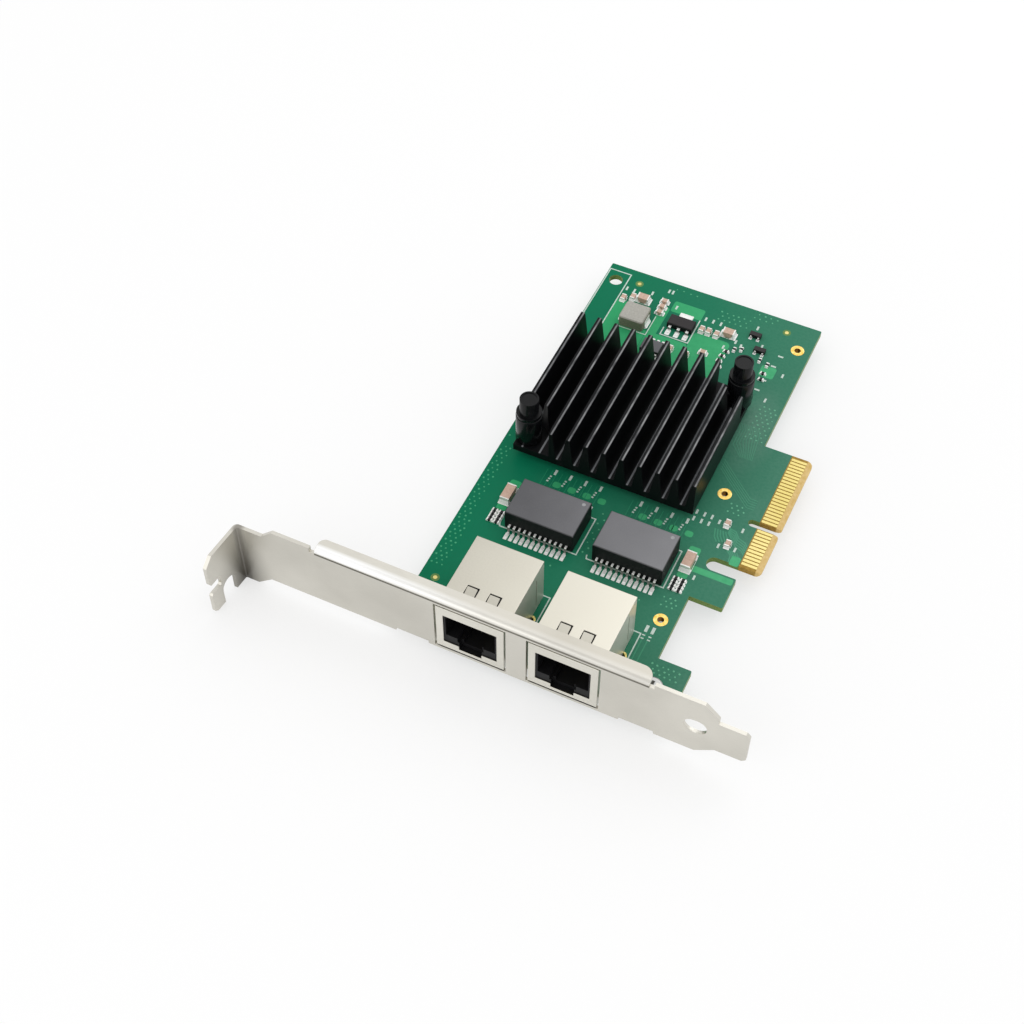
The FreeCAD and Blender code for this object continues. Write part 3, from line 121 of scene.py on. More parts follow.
def solids_of(name):
    """Box of each separate solid of a CAD node as (low corner, high corner), in millimetres."""
    mesh = nodes[name].data
    keys = [tuple(round(c / MM, 3) for c in vertex.co) for vertex in mesh.vertices]
    leader = {key: key for key in keys}

    def root(key):
        while leader[key] != key:
            leader[key] = leader[leader[key]]
            key = leader[key]
        return key

    for polygon in mesh.polygons:
        first = root(keys[polygon.vertices[0]])
        for index in polygon.vertices:
            leader[root(keys[index])] = first
    groups = {}
    for key in leader:
        groups.setdefault(root(key), []).append(key)
    boxes = []
    for points in groups.values():
        low = [min(p[axis] for p in points) for axis in range(3)]
        high = [max(p[axis] for p in points) for axis in range(3)]
        boxes.append((low, high))
    return sorted(boxes)


BOARD_LOW, BOARD_HIGH = box_mm("circuit_board")
SOLDER_Z = BOARD_LOW[2]
SINK_LOW, SINK_HIGH = box_mm("heat_sink")
FIN_PITCH = (SINK_HIGH[0] - SINK_LOW[0] - FIN_TIP) / (FIN_COUNT - 1)
LEFT = BOARD_LOW[0]
FAR = BOARD_HIGH[1]
NEAR = BOARD_LOW[1]
RIGHT = box_mm("plated_holes")[1][0] + RING_INSET   # long edge of the board behind the card edge
TRANSFORMERS = [box_mm("lan_transformer_%d" % n) for n in (1, 2)]
SHIELDS = [box_mm("jack_shield_%d" % n) for n in (1, 2)]
INDUCTOR = box_mm("power_inductor")
REGULATOR = box_mm("voltage_regulator")
PLATE_FRONT = SHIELDS[0][0][1]                      # the ports end flush with the front of the bracket
BRACKET_TOP = box_mm("bracket")[1][2]


# ---------------------------------------------------------------- materials

def linear(code):
    """Linear RGBA of a hex colour."""
    parts = [int(code[i:i + 2], 16) / 255 for i in (1, 3, 5)]
    return [p / 12.92 if p <= 0.04045 else ((p + 0.055) / 1.055) ** 2.4 for p in parts] + [1.0]


class Finish:
    """A material under construction: a Principled shader with procedural inputs in part coordinates."""

    def __init__(self, name, roughness=0.5, metallic=0.0, specular=0.5):
        self.material = bpy.data.materials.new(name)
        self.material.use_nodes = True
        self.tree = self.material.node_tree
        self.shader = self.tree.nodes["Principled BSDF"]
        self.shader.inputs["Roughness"].default_value = roughness
        self.shader.inputs["Metallic"].default_value = metallic
        self.shader.inputs["Specular IOR Level"].default_value = specular
        self.place = self.add("ShaderNodeTexCoord").outputs["Object"]

    def add(self, kind):
        return self.tree.nodes.new(kind)

    def link(self, source, target):
        self.tree.links.new(source, target)

    def set(self, target, value):
        """Puts a number on an input, or links a node's output to it."""
        if isinstance(value, (int, float)):
            target.default_value = value
        else:
            self.link(value, target)

    def noise(self, size, detail=4.0, scale=(1, 1, 1), roughness=0.55):
        """Noise from 0 to 1 with features of about size millimetres, squeezed along the axes by scale."""
        mapping = self.add("ShaderNodeMapping")
        mapping.inputs["Scale"].default_value = scale
        self.link(self.place, mapping.inputs["Vector"])
        node = self.add("ShaderNodeTexNoise")
        node.inputs["Scale"].default_value = 1 / (size * MM)
        node.inputs["Detail"].default_value = detail
        node.inputs["Roughness"].default_value = roughness
        self.link(mapping.outputs["Vector"], node.inputs["Vector"])
        return node.outputs["Fac"]

    def ramp(self, value, stops):
        """Colour ramp; stops are (position, hex)."""
        node = self.add("ShaderNodeValToRGB")
        elements = node.color_ramp.elements
        while len(elements) < len(stops):
            elements.new(0.5)
        for element, (position, colour) in zip(elements, stops):
            element.position = position
            element.color = linear(colour)
        self.link(value, node.inputs["Fac"])
        return node.outputs["Color"]

    def math(self, kind, a, b=0.0):
        node = self.add("ShaderNodeMath")
        node.operation = kind
        self.set(node.inputs[0], a)
        self.set(node.inputs[1], b)
        return node.outputs["Value"]

    def blend(self, a, share, b):
        """Share of value a and the rest of value b."""
        return self.math("ADD", self.math("MULTIPLY", a, share), self.math("MULTIPLY", b, 1 - share))

    def every(self, *masks):
        """Product of masks and numbers: 1 where all of them are 1."""
        product = masks[0]
        for mask in masks[1:]:
            product = self.math("MULTIPLY", product, mask)
        return product

    def span(self, value, low, high, to_low=0.0, to_high=1.0):
        """Value mapped from one range to another, clamped."""
        node = self.add("ShaderNodeMapRange")
        self.link(value, node.inputs["Value"])
        for name, number in zip(("From Min", "From Max", "To Min", "To Max"), (low, high, to_low, to_high)):
            node.inputs[name].default_value = number
        return node.outputs["Result"]

    def mix(self, factor, a, b):
        """Colour a, turning into colour b as the factor goes from 0 to 1."""
        node = self.add("ShaderNodeMix")
        node.data_type = "RGBA"
        slots = {s.identifier: s for s in node.inputs}
        self.set(slots["Factor_Float"], factor)
        for key, value in (("A_Color", a), ("B_Color", b)):
            if isinstance(value, str):
                slots[key].default_value = linear(value)
            else:
                self.link(value, slots[key])
        return [s for s in node.outputs if s.identifier == "Result_Color"][0]

    def axis(self, index):
        """One part coordinate in millimetres."""
        node = self.add("ShaderNodeSeparateXYZ")
        self.link(self.place, node.inputs["Vector"])
        return self.math("DIVIDE", node.outputs[index], MM)

    def facing(self, index):
        """Part of the surface normal along X, Y or Z, signed."""
        node = self.add("ShaderNodeSeparateXYZ")
        self.link(self.add("ShaderNodeNewGeometry").outputs["True Normal"], node.inputs["Vector"])
        return node.outputs[index]

    def flat(self):
        """1 on faces that look up or down, 0 on the others."""
        return self.span(self.math("ABSOLUTE", self.facing(2)), 0.4, 0.8)

    def colour(self, value):
        if isinstance(value, str):
            self.shader.inputs["Base Color"].default_value = linear(value)
        else:
            self.link(value, self.shader.inputs["Base Color"])

    def rough(self, value):
        self.link(value, self.shader.inputs["Roughness"])

    def bump(self, height, depth, strength=1.0):
        """Raises the surface by up to depth millimetres."""
        node = self.add("ShaderNodeBump")
        node.inputs["Distance"].default_value = depth * MM
        node.inputs["Strength"].default_value = strength
        self.link(height, node.inputs["Height"])
        self.link(node.outputs["Normal"], self.shader.inputs["Normal"])


def mask_tone_and_glare(f, stops):
    """Green that grows paler from the left edge of the board to the card edge as painted glare, palest in an
    oval of painted highlight at its right, with clouds of random tone.
    """
    across = f.span(f.axis(0), LEFT, LEFT + 62)
    squares = []
    for index, centre, radius in ((0, -18.0, 7.0), (1, 26.0, 14.0)):
        off = f.math("DIVIDE", f.math("SUBTRACT", f.axis(index), centre), radius)
        squares.append(f.math("MULTIPLY", off, off))
    # painted highlight: an oval of glare at the right of the board
    painted_glare = f.span(f.math("SQRT", f.math("ADD", *squares)), 1.3, 0.2, 0.0, 0.28)
    cloud = f.math("MULTIPLY", f.math("SUBTRACT", f.noise(16), 0.5), 0.22)
    drift = f.math("ADD", f.math("MULTIPLY", across, 0.78), cloud)
    return f.ramp(f.math("ADD", drift, painted_glare), stops)


def solder_mask():
    """Green mask over the weave of the laminate, gold-brown laminate at the card edge, olive cut edges."""
    f = Finish("solder_mask", roughness=0.36, specular=0.08)
    # the green carries the painted glare of the board
    top = mask_tone_and_glare(f, [(0.0, "#007350"), (0.35, "#1f7859"), (0.75, "#438068"), (1.0, "#6d9684")])
    fine = f.noise(0.7, detail=6)
    top = f.mix(f.span(fine, 0.4, 0.75, 0.0, 0.3), top, "#12694e")
    grain = f.noise(0.4, detail=3, scale=(1, 1, 7))
    edge = f.ramp(grain, [(0.3, "#4f7340"), (0.7, "#8fa158")])
    body = f.mix(f.flat(), edge, top)
    past_mask = f.span(f.axis(0), GOLD_START - 0.04, GOLD_START + 0.04)
    on_tongue = f.span(f.axis(1), TONGUE_START - 0.1, TONGUE_START)
    grain = f.noise(0.9, detail=5)
    between = f.ramp(grain, [(0.3, "#94742f"), (0.7, "#b18f45")])
    bevel = f.ramp(grain, [(0.3, "#cfae68"), (0.7, "#e2c58a")])
    bare = f.mix(f.span(f.axis(0), BEVEL_START - 0.1, BEVEL_START + 0.1), between, bevel)
    f.colour(f.mix(f.every(past_mask, on_tongue), body, bare))
    f.rough(f.span(f.noise(3.0), 0.3, 0.7, 0.3, 0.42))
    weave = f.math("ADD", f.noise(0.5, scale=(5, 0.6, 1)), f.noise(0.5, scale=(0.6, 5, 1)))
    f.bump(weave, 0.012, 0.35)
    return f.material


def mask_on_copper():
    """Brighter green where the mask lies on a copper area."""
    f = Finish("mask_on_copper", roughness=0.34, specular=0.08)
    # the green carries the painted glare of the board
    top = mask_tone_and_glare(f, [(0.0, "#2fa268"), (0.5, "#45ad76"), (1.0, "#5cb585")])
    f.colour(f.mix(f.span(f.noise(1.2, detail=5), 0.4, 0.7, 0.0, 0.35), top, "#2f9864"))
    f.bump(f.noise(0.6, detail=4), 0.01, 0.3)
    return f.material


def mask_on_trace():
    """Slightly brighter green of a trace under the mask."""
    f = Finish("mask_on_trace", roughness=0.36, specular=0.08)
    # the green carries the painted glare of the board
    f.colour(mask_tone_and_glare(f, [(0.0, "#178a61"), (0.5, "#358d6a"), (1.0, "#629e84")]))
    f.bump(f.noise(0.5, detail=4), 0.01, 0.3)
    return f.material


def tented_via():
    """Pale green cap of mask over a via."""
    f = Finish("tented_via", roughness=0.3, specular=0.15)
    # the green carries the painted glare of the board
    f.colour(mask_tone_and_glare(f, [(0.0, "#43a679"), (0.5, "#5cb088"), (1.0, "#74b897")]))
    f.bump(f.noise(0.2, detail=3), 0.01, 0.3)
    return f.material


def screen_print():
    """White printed lines, slightly ragged and thin in places."""
    f = Finish("screen_print", roughness=0.6, specular=0.2)
    f.colour(f.ramp(f.noise(0.25, detail=4), [(0.3, "#a9c6b8"), (0.65, "#dde6df")]))
    f.bump(f.noise(0.15, detail=3), 0.01, 0.3)
    return f.material


def metal(name, dark, light, roughness, grain, scale=(1, 1, 1), depth=0.01, metallic=1.0):
    """Metal with fine streaks or speckle and uneven gloss."""
    f = Finish(name, roughness=roughness, metallic=metallic)
    streaks = f.noise(grain, detail=5, scale=scale)
    tone = f.blend(streaks, 0.35, f.noise(22, detail=1.5))
    f.colour(f.ramp(tone, [(0.35, dark), (0.65, light)]))
    f.rough(f.span(streaks, 0.3, 0.7, roughness - 0.03, roughness + 0.04))
    f.bump(streaks, depth, 0.2)
    return f.material


def plastic(name, dark, light, roughness, grain=0.3, specular=0.3, depth=0.01):
    """Moulded plastic or epoxy with a fine skin."""
    f = Finish(name, roughness=roughness, specular=specular)
    skin = f.noise(grain, detail=5)
    f.colour(f.ramp(skin, [(0.3, dark), (0.7, light)]))
    f.rough(f.span(skin, 0.3, 0.7, roughness - 0.05, roughness + 0.05))
    f.bump(skin, depth, 0.35)
    return f.material


def chip_epoxy(name, top_dark, top_light, drift=None):
    """Black epoxy with a matt top painted paler than the sides, as painted light on the top and painted shade
    on the sides; the top may grow paler from one X to another as painted glare.
    """
    f = Finish(name, roughness=0.55, specular=0.2)
    skin = f.noise(0.25, detail=6)
    speckle = f.blend(skin, 0.4, f.noise(9, detail=2))
    if drift:
        # painted glare: the top grows paler along X
        speckle = f.blend(speckle, 0.2, f.span(f.axis(0), drift[0], drift[1], 0.3, 0.65))
    top = f.ramp(speckle, [(0.35, top_dark), (0.65, top_light)])
    # painted shade: the sides are near black
    side = f.ramp(skin, [(0.3, "#0d0f0f"), (0.7, "#151718")])
    f.colour(f.mix(f.span(f.facing(2), 0.5, 0.95), side, top))
    f.bump(skin, 0.02, 0.4)
    return f.material


def anodised():
    """Black anodised aluminium with a painted highlight line along one side of each fin's tip and beside each
    fin's root.
    """
    f = Finish("black_anodised", roughness=0.4, specular=0.12)
    lines = f.noise(0.5, detail=5, scale=(6, 0.15, 6))
    body = f.ramp(lines, [(0.3, "#060708"), (0.7, "#0d0e10")])
    from_left = f.math("SUBTRACT", f.axis(0), SINK_LOW[0])
    across = f.math("MULTIPLY", f.math("FRACT", f.math("DIVIDE", from_left, FIN_PITCH)), FIN_PITCH)
    line = f.every(f.span(across, 0.5, 0.62), f.span(across, 0.98, 0.86))
    # painted highlight along one side of each fin's tip
    tip_highlight = f.ramp(f.noise(1.0, detail=6, scale=(1, 0.25, 1)), [(0.35, "#4c4d4f"), (0.65, "#959697")])
    tip = f.mix(line, "#121315", tip_highlight)
    upward = f.span(f.facing(2), 0.6, 0.95)
    height = f.axis(2)
    top = SINK_HIGH[2]
    on_tip = f.every(upward, f.span(height, top - 0.2, top - 0.05))
    root = (FIN_TIP + FIN_ROOT) / 2
    # painted highlight on the channel floor beside each fin's root
    root_highlight = f.every(f.span(across, root, root + 0.08), f.span(across, root + 0.55, root + 0.4))
    channel = SINK_LOW[2] + SINK_BASE
    on_floor = f.every(upward, f.span(height, channel + 0.1, channel + 0.05))
    body = f.mix(f.every(root_highlight, on_floor), body, "#85878a")
    f.colour(f.mix(on_tip, body, tip))
    f.rough(f.span(lines, 0.3, 0.7, 0.34, 0.48))
    f.bump(lines, 0.015, 0.35)
    return f.material


def ferrite():
    """Pressed iron powder with a paler top."""
    f = Finish("ferrite_grey", roughness=0.6, specular=0.25)
    skin = f.noise(0.5, detail=6)
    top = f.ramp(skin, [(0.3, "#a3a199"), (0.7, "#b6b4ac")])
    side = f.ramp(skin, [(0.3, "#706e62"), (0.7, "#85836f")])
    f.colour(f.mix(f.span(f.facing(2), 0.3, 0.9), side, top))
    f.bump(skin, 0.03, 0.35)
    return f.material


def shield_metal():
    """Bright satin metal of the jack shields, a little deeper on top and paler there towards the right
    shield, with the sides painted paler as a painted reflection of the pale surroundings.
    """
    f = Finish("shield_metal")
    upward = f.span(f.facing(2), 0.3, 0.9)
    fine = f.noise(0.4, detail=5)
    clouds = f.blend(fine, 0.35, f.noise(22, detail=1.5))
    along = f.span(f.axis(0), SHIELDS[0][0][0], SHIELDS[1][1][0])
    top = f.mix(along, f.ramp(clouds, [(0.35, "#bdb9ad"), (0.65, "#c8c5b9")]), "#d4d0c3")
    # painted reflection: the sides are paler than the top
    side = f.ramp(clouds, [(0.35, "#cfccc1"), (0.65, "#dcd9cf")])
    f.colour(f.mix(upward, side, top))
    f.rough(f.span(upward, 0.0, 1.0, 0.3, 0.36))
    f.link(f.span(upward, 0.0, 1.0, 0.35, 1.0), f.shader.inputs["Metallic"])
    f.bump(fine, 0.008, 0.2)
    return f.material


def tin_lead():
    """Bright tin of the leads, with a painted glint where it lies level and painted shade where it falls
    away.
    """
    f = Finish("tin_lead", roughness=0.36, metallic=0.3)
    streaks = f.noise(0.3, detail=5)
    # painted glint on the level parts, painted shade on the steep ones
    level = f.ramp(streaks, [(0.3, "#efefeb"), (0.7, "#fbfbf8")])
    steep_shade = f.ramp(streaks, [(0.3, "#6d6f69"), (0.7, "#83857e")])
    f.colour(f.mix(f.span(f.facing(2), 0.2, 0.8), steep_shade, level))
    f.bump(streaks, 0.01, 0.2)
    return f.material


def hole_plate():
    """Gold of the plated holes, with the walls inside them painted deeper as painted shade."""
    f = Finish("hole_plate", roughness=0.3, metallic=1.0)
    wear = f.noise(0.8, detail=5)
    ring = f.ramp(wear, [(0.35, "#d6ac4a"), (0.65, "#ebd083")])
    # painted shade on the walls inside the holes
    f.colour(f.mix(f.flat(), "#7d5417", ring))
    f.bump(wear, 0.01, 0.2)
    return f.material


def crook_shade_mask(f):
    """Painted shade that grows towards the lower end of the crook between the screw tab and the plate."""
    off = 0.0
    for index, centre, share in ((0, CROOK_X, 1.0), (1, PLATE_FRONT, 0.8), (2, CROOK_Z, 0.45)):
        step = f.math("MULTIPLY", f.math("SUBTRACT", f.axis(index), centre), share)
        off = f.math("ADD", f.math("MULTIPLY", step, step), off)
    return f.math("POWER", f.span(f.math("SQRT", off), CROOK_REACH, 0.0), 1.6)


def bend_shade_mask(f):
    """1 in the inner bend of the screw tab, where painted shade goes."""
    x = f.axis(0)
    near = f.span(f.axis(1), PLATE_FRONT - 1.6, PLATE_FRONT - 0.6)
    return f.every(f.span(x, SEAM_X + 2.0, SEAM_X + 0.9), f.span(x, SEAM_X - 0.9, SEAM_X - 0.2), near)


def flange_mask(f):
    """1 along the length of the flange."""
    x = f.axis(0)
    return f.every(f.span(x, FLANGE_START, FLANGE_START + 0.1), f.span(x, FLANGE_END + 0.1, FLANGE_END))


def bracket_steel():
    """Plated sheet with painted shade in the crook and the inner bend of the tab, painted shade on the
    flange's top towards its right, and a painted shade line and a painted highlight along the flange's fold.
    """
    f = Finish("bracket_steel", roughness=0.4, metallic=1.0)
    x, y, z = f.axis(0), f.axis(1), f.axis(2)
    streaks = f.noise(0.5, detail=5, scale=(0.25, 4, 4))
    tone = f.blend(streaks, 0.35, f.noise(18, detail=2))
    plate = f.ramp(tone, [(0.35, "#cbc8bf"), (0.65, "#dad7ce")])
    # painted shade in the crook of the tab
    plate = f.mix(crook_shade_mask(f), plate, "#3b382f")
    bend_shade = bend_shade_mask(f)
    # painted shade in the tab's inner bend, darker towards the bottom
    plate = f.mix(bend_shade, plate, f.mix(f.span(z, BRACKET_TOP, CROOK_Z), "#9d9990", "#4c483f"))
    flange = flange_mask(f)
    fold = BRACKET_TOP - FOLD_DEPTH
    on_front = f.span(y, PLATE_FRONT + 0.4, PLATE_FRONT + 0.2)
    # painted shade line under the fold
    fold_shade_line = f.every(f.span(z, fold + 0.15, fold), f.span(z, fold - 0.7, fold - 0.5), flange, on_front, 0.7)
    plate = f.mix(fold_shade_line, plate, "#6f6c62")
    # painted shade on the flange's top towards its right
    flange_shade = f.every(f.span(f.facing(2), 0.5, 0.9), flange, f.span(x, -62.0, -30.0, 0.0, 0.6))
    plate = f.mix(flange_shade, plate, "#b9b4a8")
    # painted highlight along the fold, fading towards the right
    near_fold = f.every(f.span(z, fold + 0.1, fold + 0.3), f.span(y, PLATE_FRONT + 2.2, PLATE_FRONT + 1.3))
    fold_highlight = f.every(near_fold, flange, f.span(x, FLANGE_START + 8.0, FOLD_HIGHLIGHT_END, 0.9, 0.15))
    f.colour(f.mix(fold_highlight, plate, "#ffffff"))
    painted = f.math("MAXIMUM", bend_shade, f.math("MULTIPLY", fold_highlight, 0.7))
    f.link(f.math("SUBTRACT", 1.0, painted), f.shader.inputs["Metallic"])
    f.rough(f.span(streaks, 0.3, 0.7, 0.37, 0.44))
    f.bump(streaks, 0.01, 0.2)
    return f.material


def ceramic():
    """Pinkish fired ceramic of the capacitors."""
    f = Finish("capacitor_ceramic", roughness=0.45, specular=0.35)
    f.colour(f.ramp(f.noise(0.5, detail=4), [(0.3, "#c0a08c"), (0.7, "#d3b6a4")]))
    f.bump(f.noise(0.3, detail=4), 0.01, 0.3)
    return f.material


def dot_finish():
    """Grey ink of the dots on the transformers."""
    f = Finish("pin_one_dot", roughness=0.6, specular=0.3)
    f.colour(f.ramp(f.noise(0.3, detail=4), [(0.3, "#8f9092"), (0.7, "#a9aaab")]))
    return f.material


def bare_laminate():
    """Bare laminate in the clearing round an alignment dot."""
    f = Finish("bare_laminate", roughness=0.5, specular=0.3)
    f.colour(f.ramp(f.noise(0.6, detail=4), [(0.3, "#4d7a3e"), (0.7, "#6b8f4a")]))
    return f.material


TIN = metal("tinned_lead", "#e0e0dc", "#f2f2ee", 0.34, 0.3, metallic=0.3)
GOLD = metal("gold_plate", "#c6b56a", "#dccd8c", 0.36, 0.5)
TRANSFORMER_ENDS = (TRANSFORMERS[0][0][0], TRANSFORMERS[1][1][0])
EPOXY = chip_epoxy("moulded_epoxy", "#5c5c5f", "#87878a", drift=TRANSFORMER_ENDS)
DARK_EPOXY = chip_epoxy("dark_epoxy", "#2b2829", "#383536")
finishes = {
    "solder_mask": solder_mask(),
    "gold_plate": GOLD,
    "bracket_steel": bracket_steel(),
    "shield_metal": shield_metal(),
    "screw_steel": metal("screw_steel", "#b0b0ae", "#c8c8c4", 0.32, 0.4),
    "port_plastic": plastic("port_plastic", "#0c0c0d", "#151517", 0.5, specular=0.2),
    "moulded_epoxy": EPOXY,
    "tinned_lead": TIN,
    "black_anodised": anodised(),
    "pin_plastic": plastic("pin_plastic", "#08090a", "#0e0f11", 0.22, 2.0, specular=0.22, depth=0.004),
    "spring_steel": metal("spring_steel", "#8f8f8d", "#b0b0ac", 0.3, 0.3),
    "thermal_rubber": plastic("thermal_rubber", "#8a8f99", "#9ba0aa", 0.8),
    "ferrite_grey": ferrite(),
    "capacitor_ceramic": ceramic(),
    "resistor_black": plastic("resistor_black", "#101112", "#1b1c1e", 0.4),
    "crystal_can": metal("crystal_can", "#b9b7af", "#cecbc2", 0.3, 0.6),
}
LEADS = tin_lead()
TENTED = tented_via()
PRINT = screen_print()
BARE_LAMINATE = bare_laminate()
DOT = dot_finish()
SOLDER = metal("solder", "#f0f0ec", "#ffffff", 0.32, 0.4, depth=0.02, metallic=0.0)
own_finishes = {
    "lan_transformer_leads_1": LEADS,
    "lan_transformer_leads_2": LEADS,
    "voltage_regulator_leads": LEADS,
    "memory_chip_leads": LEADS,
    "transistor_leads": LEADS,
    "voltage_regulator": DARK_EPOXY,
    "transistor_bodies": DARK_EPOXY,
    "plated_holes": hole_plate(),
}

for entry in frame["record"]["subparts"]:
    piece = nodes[entry["node"]]
    piece.data.materials.clear()
    piece.data.materials.append(own_finishes.get(entry["node"], finishes[entry["material_slot"]]))


# ---------------------------------------------------------------- soft edges of the larger pieces

def soften(name, width, segments=2):
    """Rounds the sharp edges of a CAD node for the eye, by a share of a millimetre."""
    piece = nodes[name]
    weld = piece.modifiers.new("weld", "WELD")
    weld.merge_threshold = 0.0005 * MM
    bevel = piece.modifiers.new("bevel", "BEVEL")
    bevel.width = width * MM
    bevel.segments = segments
    bevel.limit_method = "ANGLE"
    bevel.angle_limit = math.radians(35)
    bevel.harden_normals = True


# ---------------------------------------------------------------- thin layers on the board

class Layer:
    """Plates, discs and wedges gathered into one mesh, in millimetres."""

    def __init__(self, base=0.0, upward=True):
        self.base = base
        self.sign = 1 if upward else -1
        self.count = 0
        self.vertices = []
        self.faces = []

    def solid(self, low_ring, high_ring, low, high):
        """Closed solid between two rings of (x, y) points, at two heights above the base.

        Neighbours end at slightly different heights, so that no two tops share a plane where they cross.
        """
        start = len(self.vertices)
        self.count += 1
        high += self.count % 7 * 0.0012
        count = len(low_ring)
        for ring, height in ((low_ring, low), (high_ring, high)):
            self.vertices += [(x * MM, y * MM, (self.base + self.sign * height) * MM) for x, y in ring]
        sides = [(start + i, start + (i + 1) % count, start + count + (i + 1) % count, start + count + i)
                 for i in range(count)]
        bottom = tuple(range(start + count - 1, start - 1, -1))
        top = tuple(range(start + count, start + 2 * count))
        faces = sides + [bottom, top]
        self.faces += faces if self.sign > 0 else [tuple(reversed(face)) for face in faces]

    def wedge(self, outer, inner, rise, low=-SUNK):
        """Frustum from an outer (x0, x1, y0, y1) at the board to an inner one at the top."""
        rings = []
        for x0, x1, y0, y1 in (outer, inner):
            rings.append([(x0, y0), (x1, y0), (x1, y1), (x0, y1)])
        self.solid(rings[0], rings[1], low, rise)

    def area(self, x0, x1, y0, y1, rise, corner=0.6, steps=4):
        """Plate with round corners."""
        corner = min(corner, (x1 - x0) / 2.01, (y1 - y0) / 2.01)
        ring = []
        centres = ((x1 - corner, y1 - corner), (x0 + corner, y1 - corner), (x0 + corner, y0 + corner),
                   (x1 - corner, y0 + corner))
        for quarter, (x, y) in enumerate(centres):
            for i in range(steps + 1):
                angle = (quarter + i / steps) * math.pi / 2
                ring.append((x + corner * math.cos(angle), y + corner * math.sin(angle)))
        self.solid(ring, ring, -SUNK, rise)

    def disc(self, x, y, radius, rise, sides=12, top=0.75):
        """Low dome with a flat top."""
        angles = [i * 2 * math.pi / sides for i in range(sides)]
        rings = []
        for r in (radius, radius * top):
            rings.append([(x + r * math.cos(a), y + r * math.sin(a)) for a in angles])
        self.solid(rings[0], rings[1], -SUNK, rise)

    def line(self, points, width, rise):
        """Line of even width through the points, with mitred corners."""
        half = width / 2
        left = []
        right = []
        for i, (x, y) in enumerate(points):
            before = points[i - 1] if i else None
            after = points[i + 1] if i + 1 < len(points) else None
            runs = []
            for a, b in ((before, (x, y)), ((x, y), after)):
                if a and b:
                    length = math.hypot(b[0] - a[0], b[1] - a[1])
                    runs.append(((b[0] - a[0]) / length, (b[1] - a[1]) / length))
            along = (sum(r[0] for r in runs), sum(r[1] for r in runs))
            size = math.hypot(*along)
            side = (-along[1] / size, along[0] / size)
            reach = half / max(0.5, side[0] * -runs[0][1] + side[1] * runs[0][0])
            left.append((x + side[0] * reach, y + side[1] * reach))
            right.append((x - side[0] * reach, y - side[1] * reach))
        for i in range(len(points) - 1):
            ring = [right[i], right[i + 1], left[i + 1], left[i]]
            self.solid(ring, ring, -SUNK, rise)

    def piece(self, name, material, slot):
        """Makes the mesh a piece that rides on the card."""
        mesh = bpy.data.meshes.new(name)
        mesh.from_pydata(self.vertices, [], self.faces)
        mesh.materials.append(material)
        made = bpy.data.objects.new(name, mesh)
        bpy.context.scene.collection.objects.link(made)
        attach(made, "root")
        return made


def grid(x0, x1, y0, y1, pitch):
    """Staggered points that fill a rectangle."""
    points = []
    row = 0
    y = y0
    while y <= y1 + 1e-6:
        x = x0 + (pitch / 2 if row % 2 else 0)
        while x <= x1 + 1e-6:
            points.append((x, y))
            x += pitch
        y += pitch * 0.87
        row += 1
    return points


def copper_areas():
    """Bright areas of mask over wide copper."""
    layer = Layer()
    low, high = INDUCTOR
    behind = SINK_HIGH[1] + 0.4
    layer.area(LEFT + 5.9, low[0] + 0.8, behind, high[1] + 2.0, POUR_RISE)
    layer.area(low[0] + 0.9, high[0] + 0.9, behind, low[1] + 1.2, POUR_RISE)
    layer.area(high[0] + 1.0, high[0] + 3.4, behind, high[1] + 4.4, POUR_RISE)
    low, high = REGULATOR
    layer.area(low[0] - 1.2, high[0] + 0.4, high[1] + 2.0, high[1] + 5.8, POUR_RISE)
    layer.area(high[0] + 0.4, high[0] + 10.0, behind, low[1] + 1.4, POUR_RISE, corner=1.2)
    layer.area(low[0] - 2.0, high[0] + 0.3, behind, low[1] - 3.4, POUR_RISE)
    layer.area(RIGHT - 9.4, RIGHT - 5.6, FAR - 20.4, FAR - 16.6, POUR_RISE)
    for body_low, body_high in solids_of("large_capacitor_bodies"):
        if body_high[1] < 0:
            x = (body_low[0] + body_high[0]) / 2
            layer.area(x - 1.35, x + 1.35, body_high[1] + 0.6, body_high[1] + 2.9, POUR_RISE)
            layer.area(x - 1.2, x + 1.2, body_low[1] - 2.4, body_low[1] - 0.6, POUR_RISE)
    for low, high in TRANSFORMERS:
        for i in range(4):
            x = low[0] + 5.6 + i * 3.78
            layer.area(x - 0.9, x + 1.0, high[1] + 4.6, high[1] + 6.3, POUR_RISE, corner=0.6)
    layer.area(-7.6, GOLD_START - 0.15, -13.1, -10.4, POUR_RISE, corner=0.4)
    layer.area(RIGHT - 2.5, RIGHT + 7.4, -18.4, -16.7, POUR_RISE, corner=0.4)
    layer.area(RIGHT - 0.3, RIGHT + 7.4, NEAR + 0.4, NEAR + 1.4, POUR_RISE, corner=0.3)
    layer.piece("copper_areas", mask_on_copper(), "solder_mask")


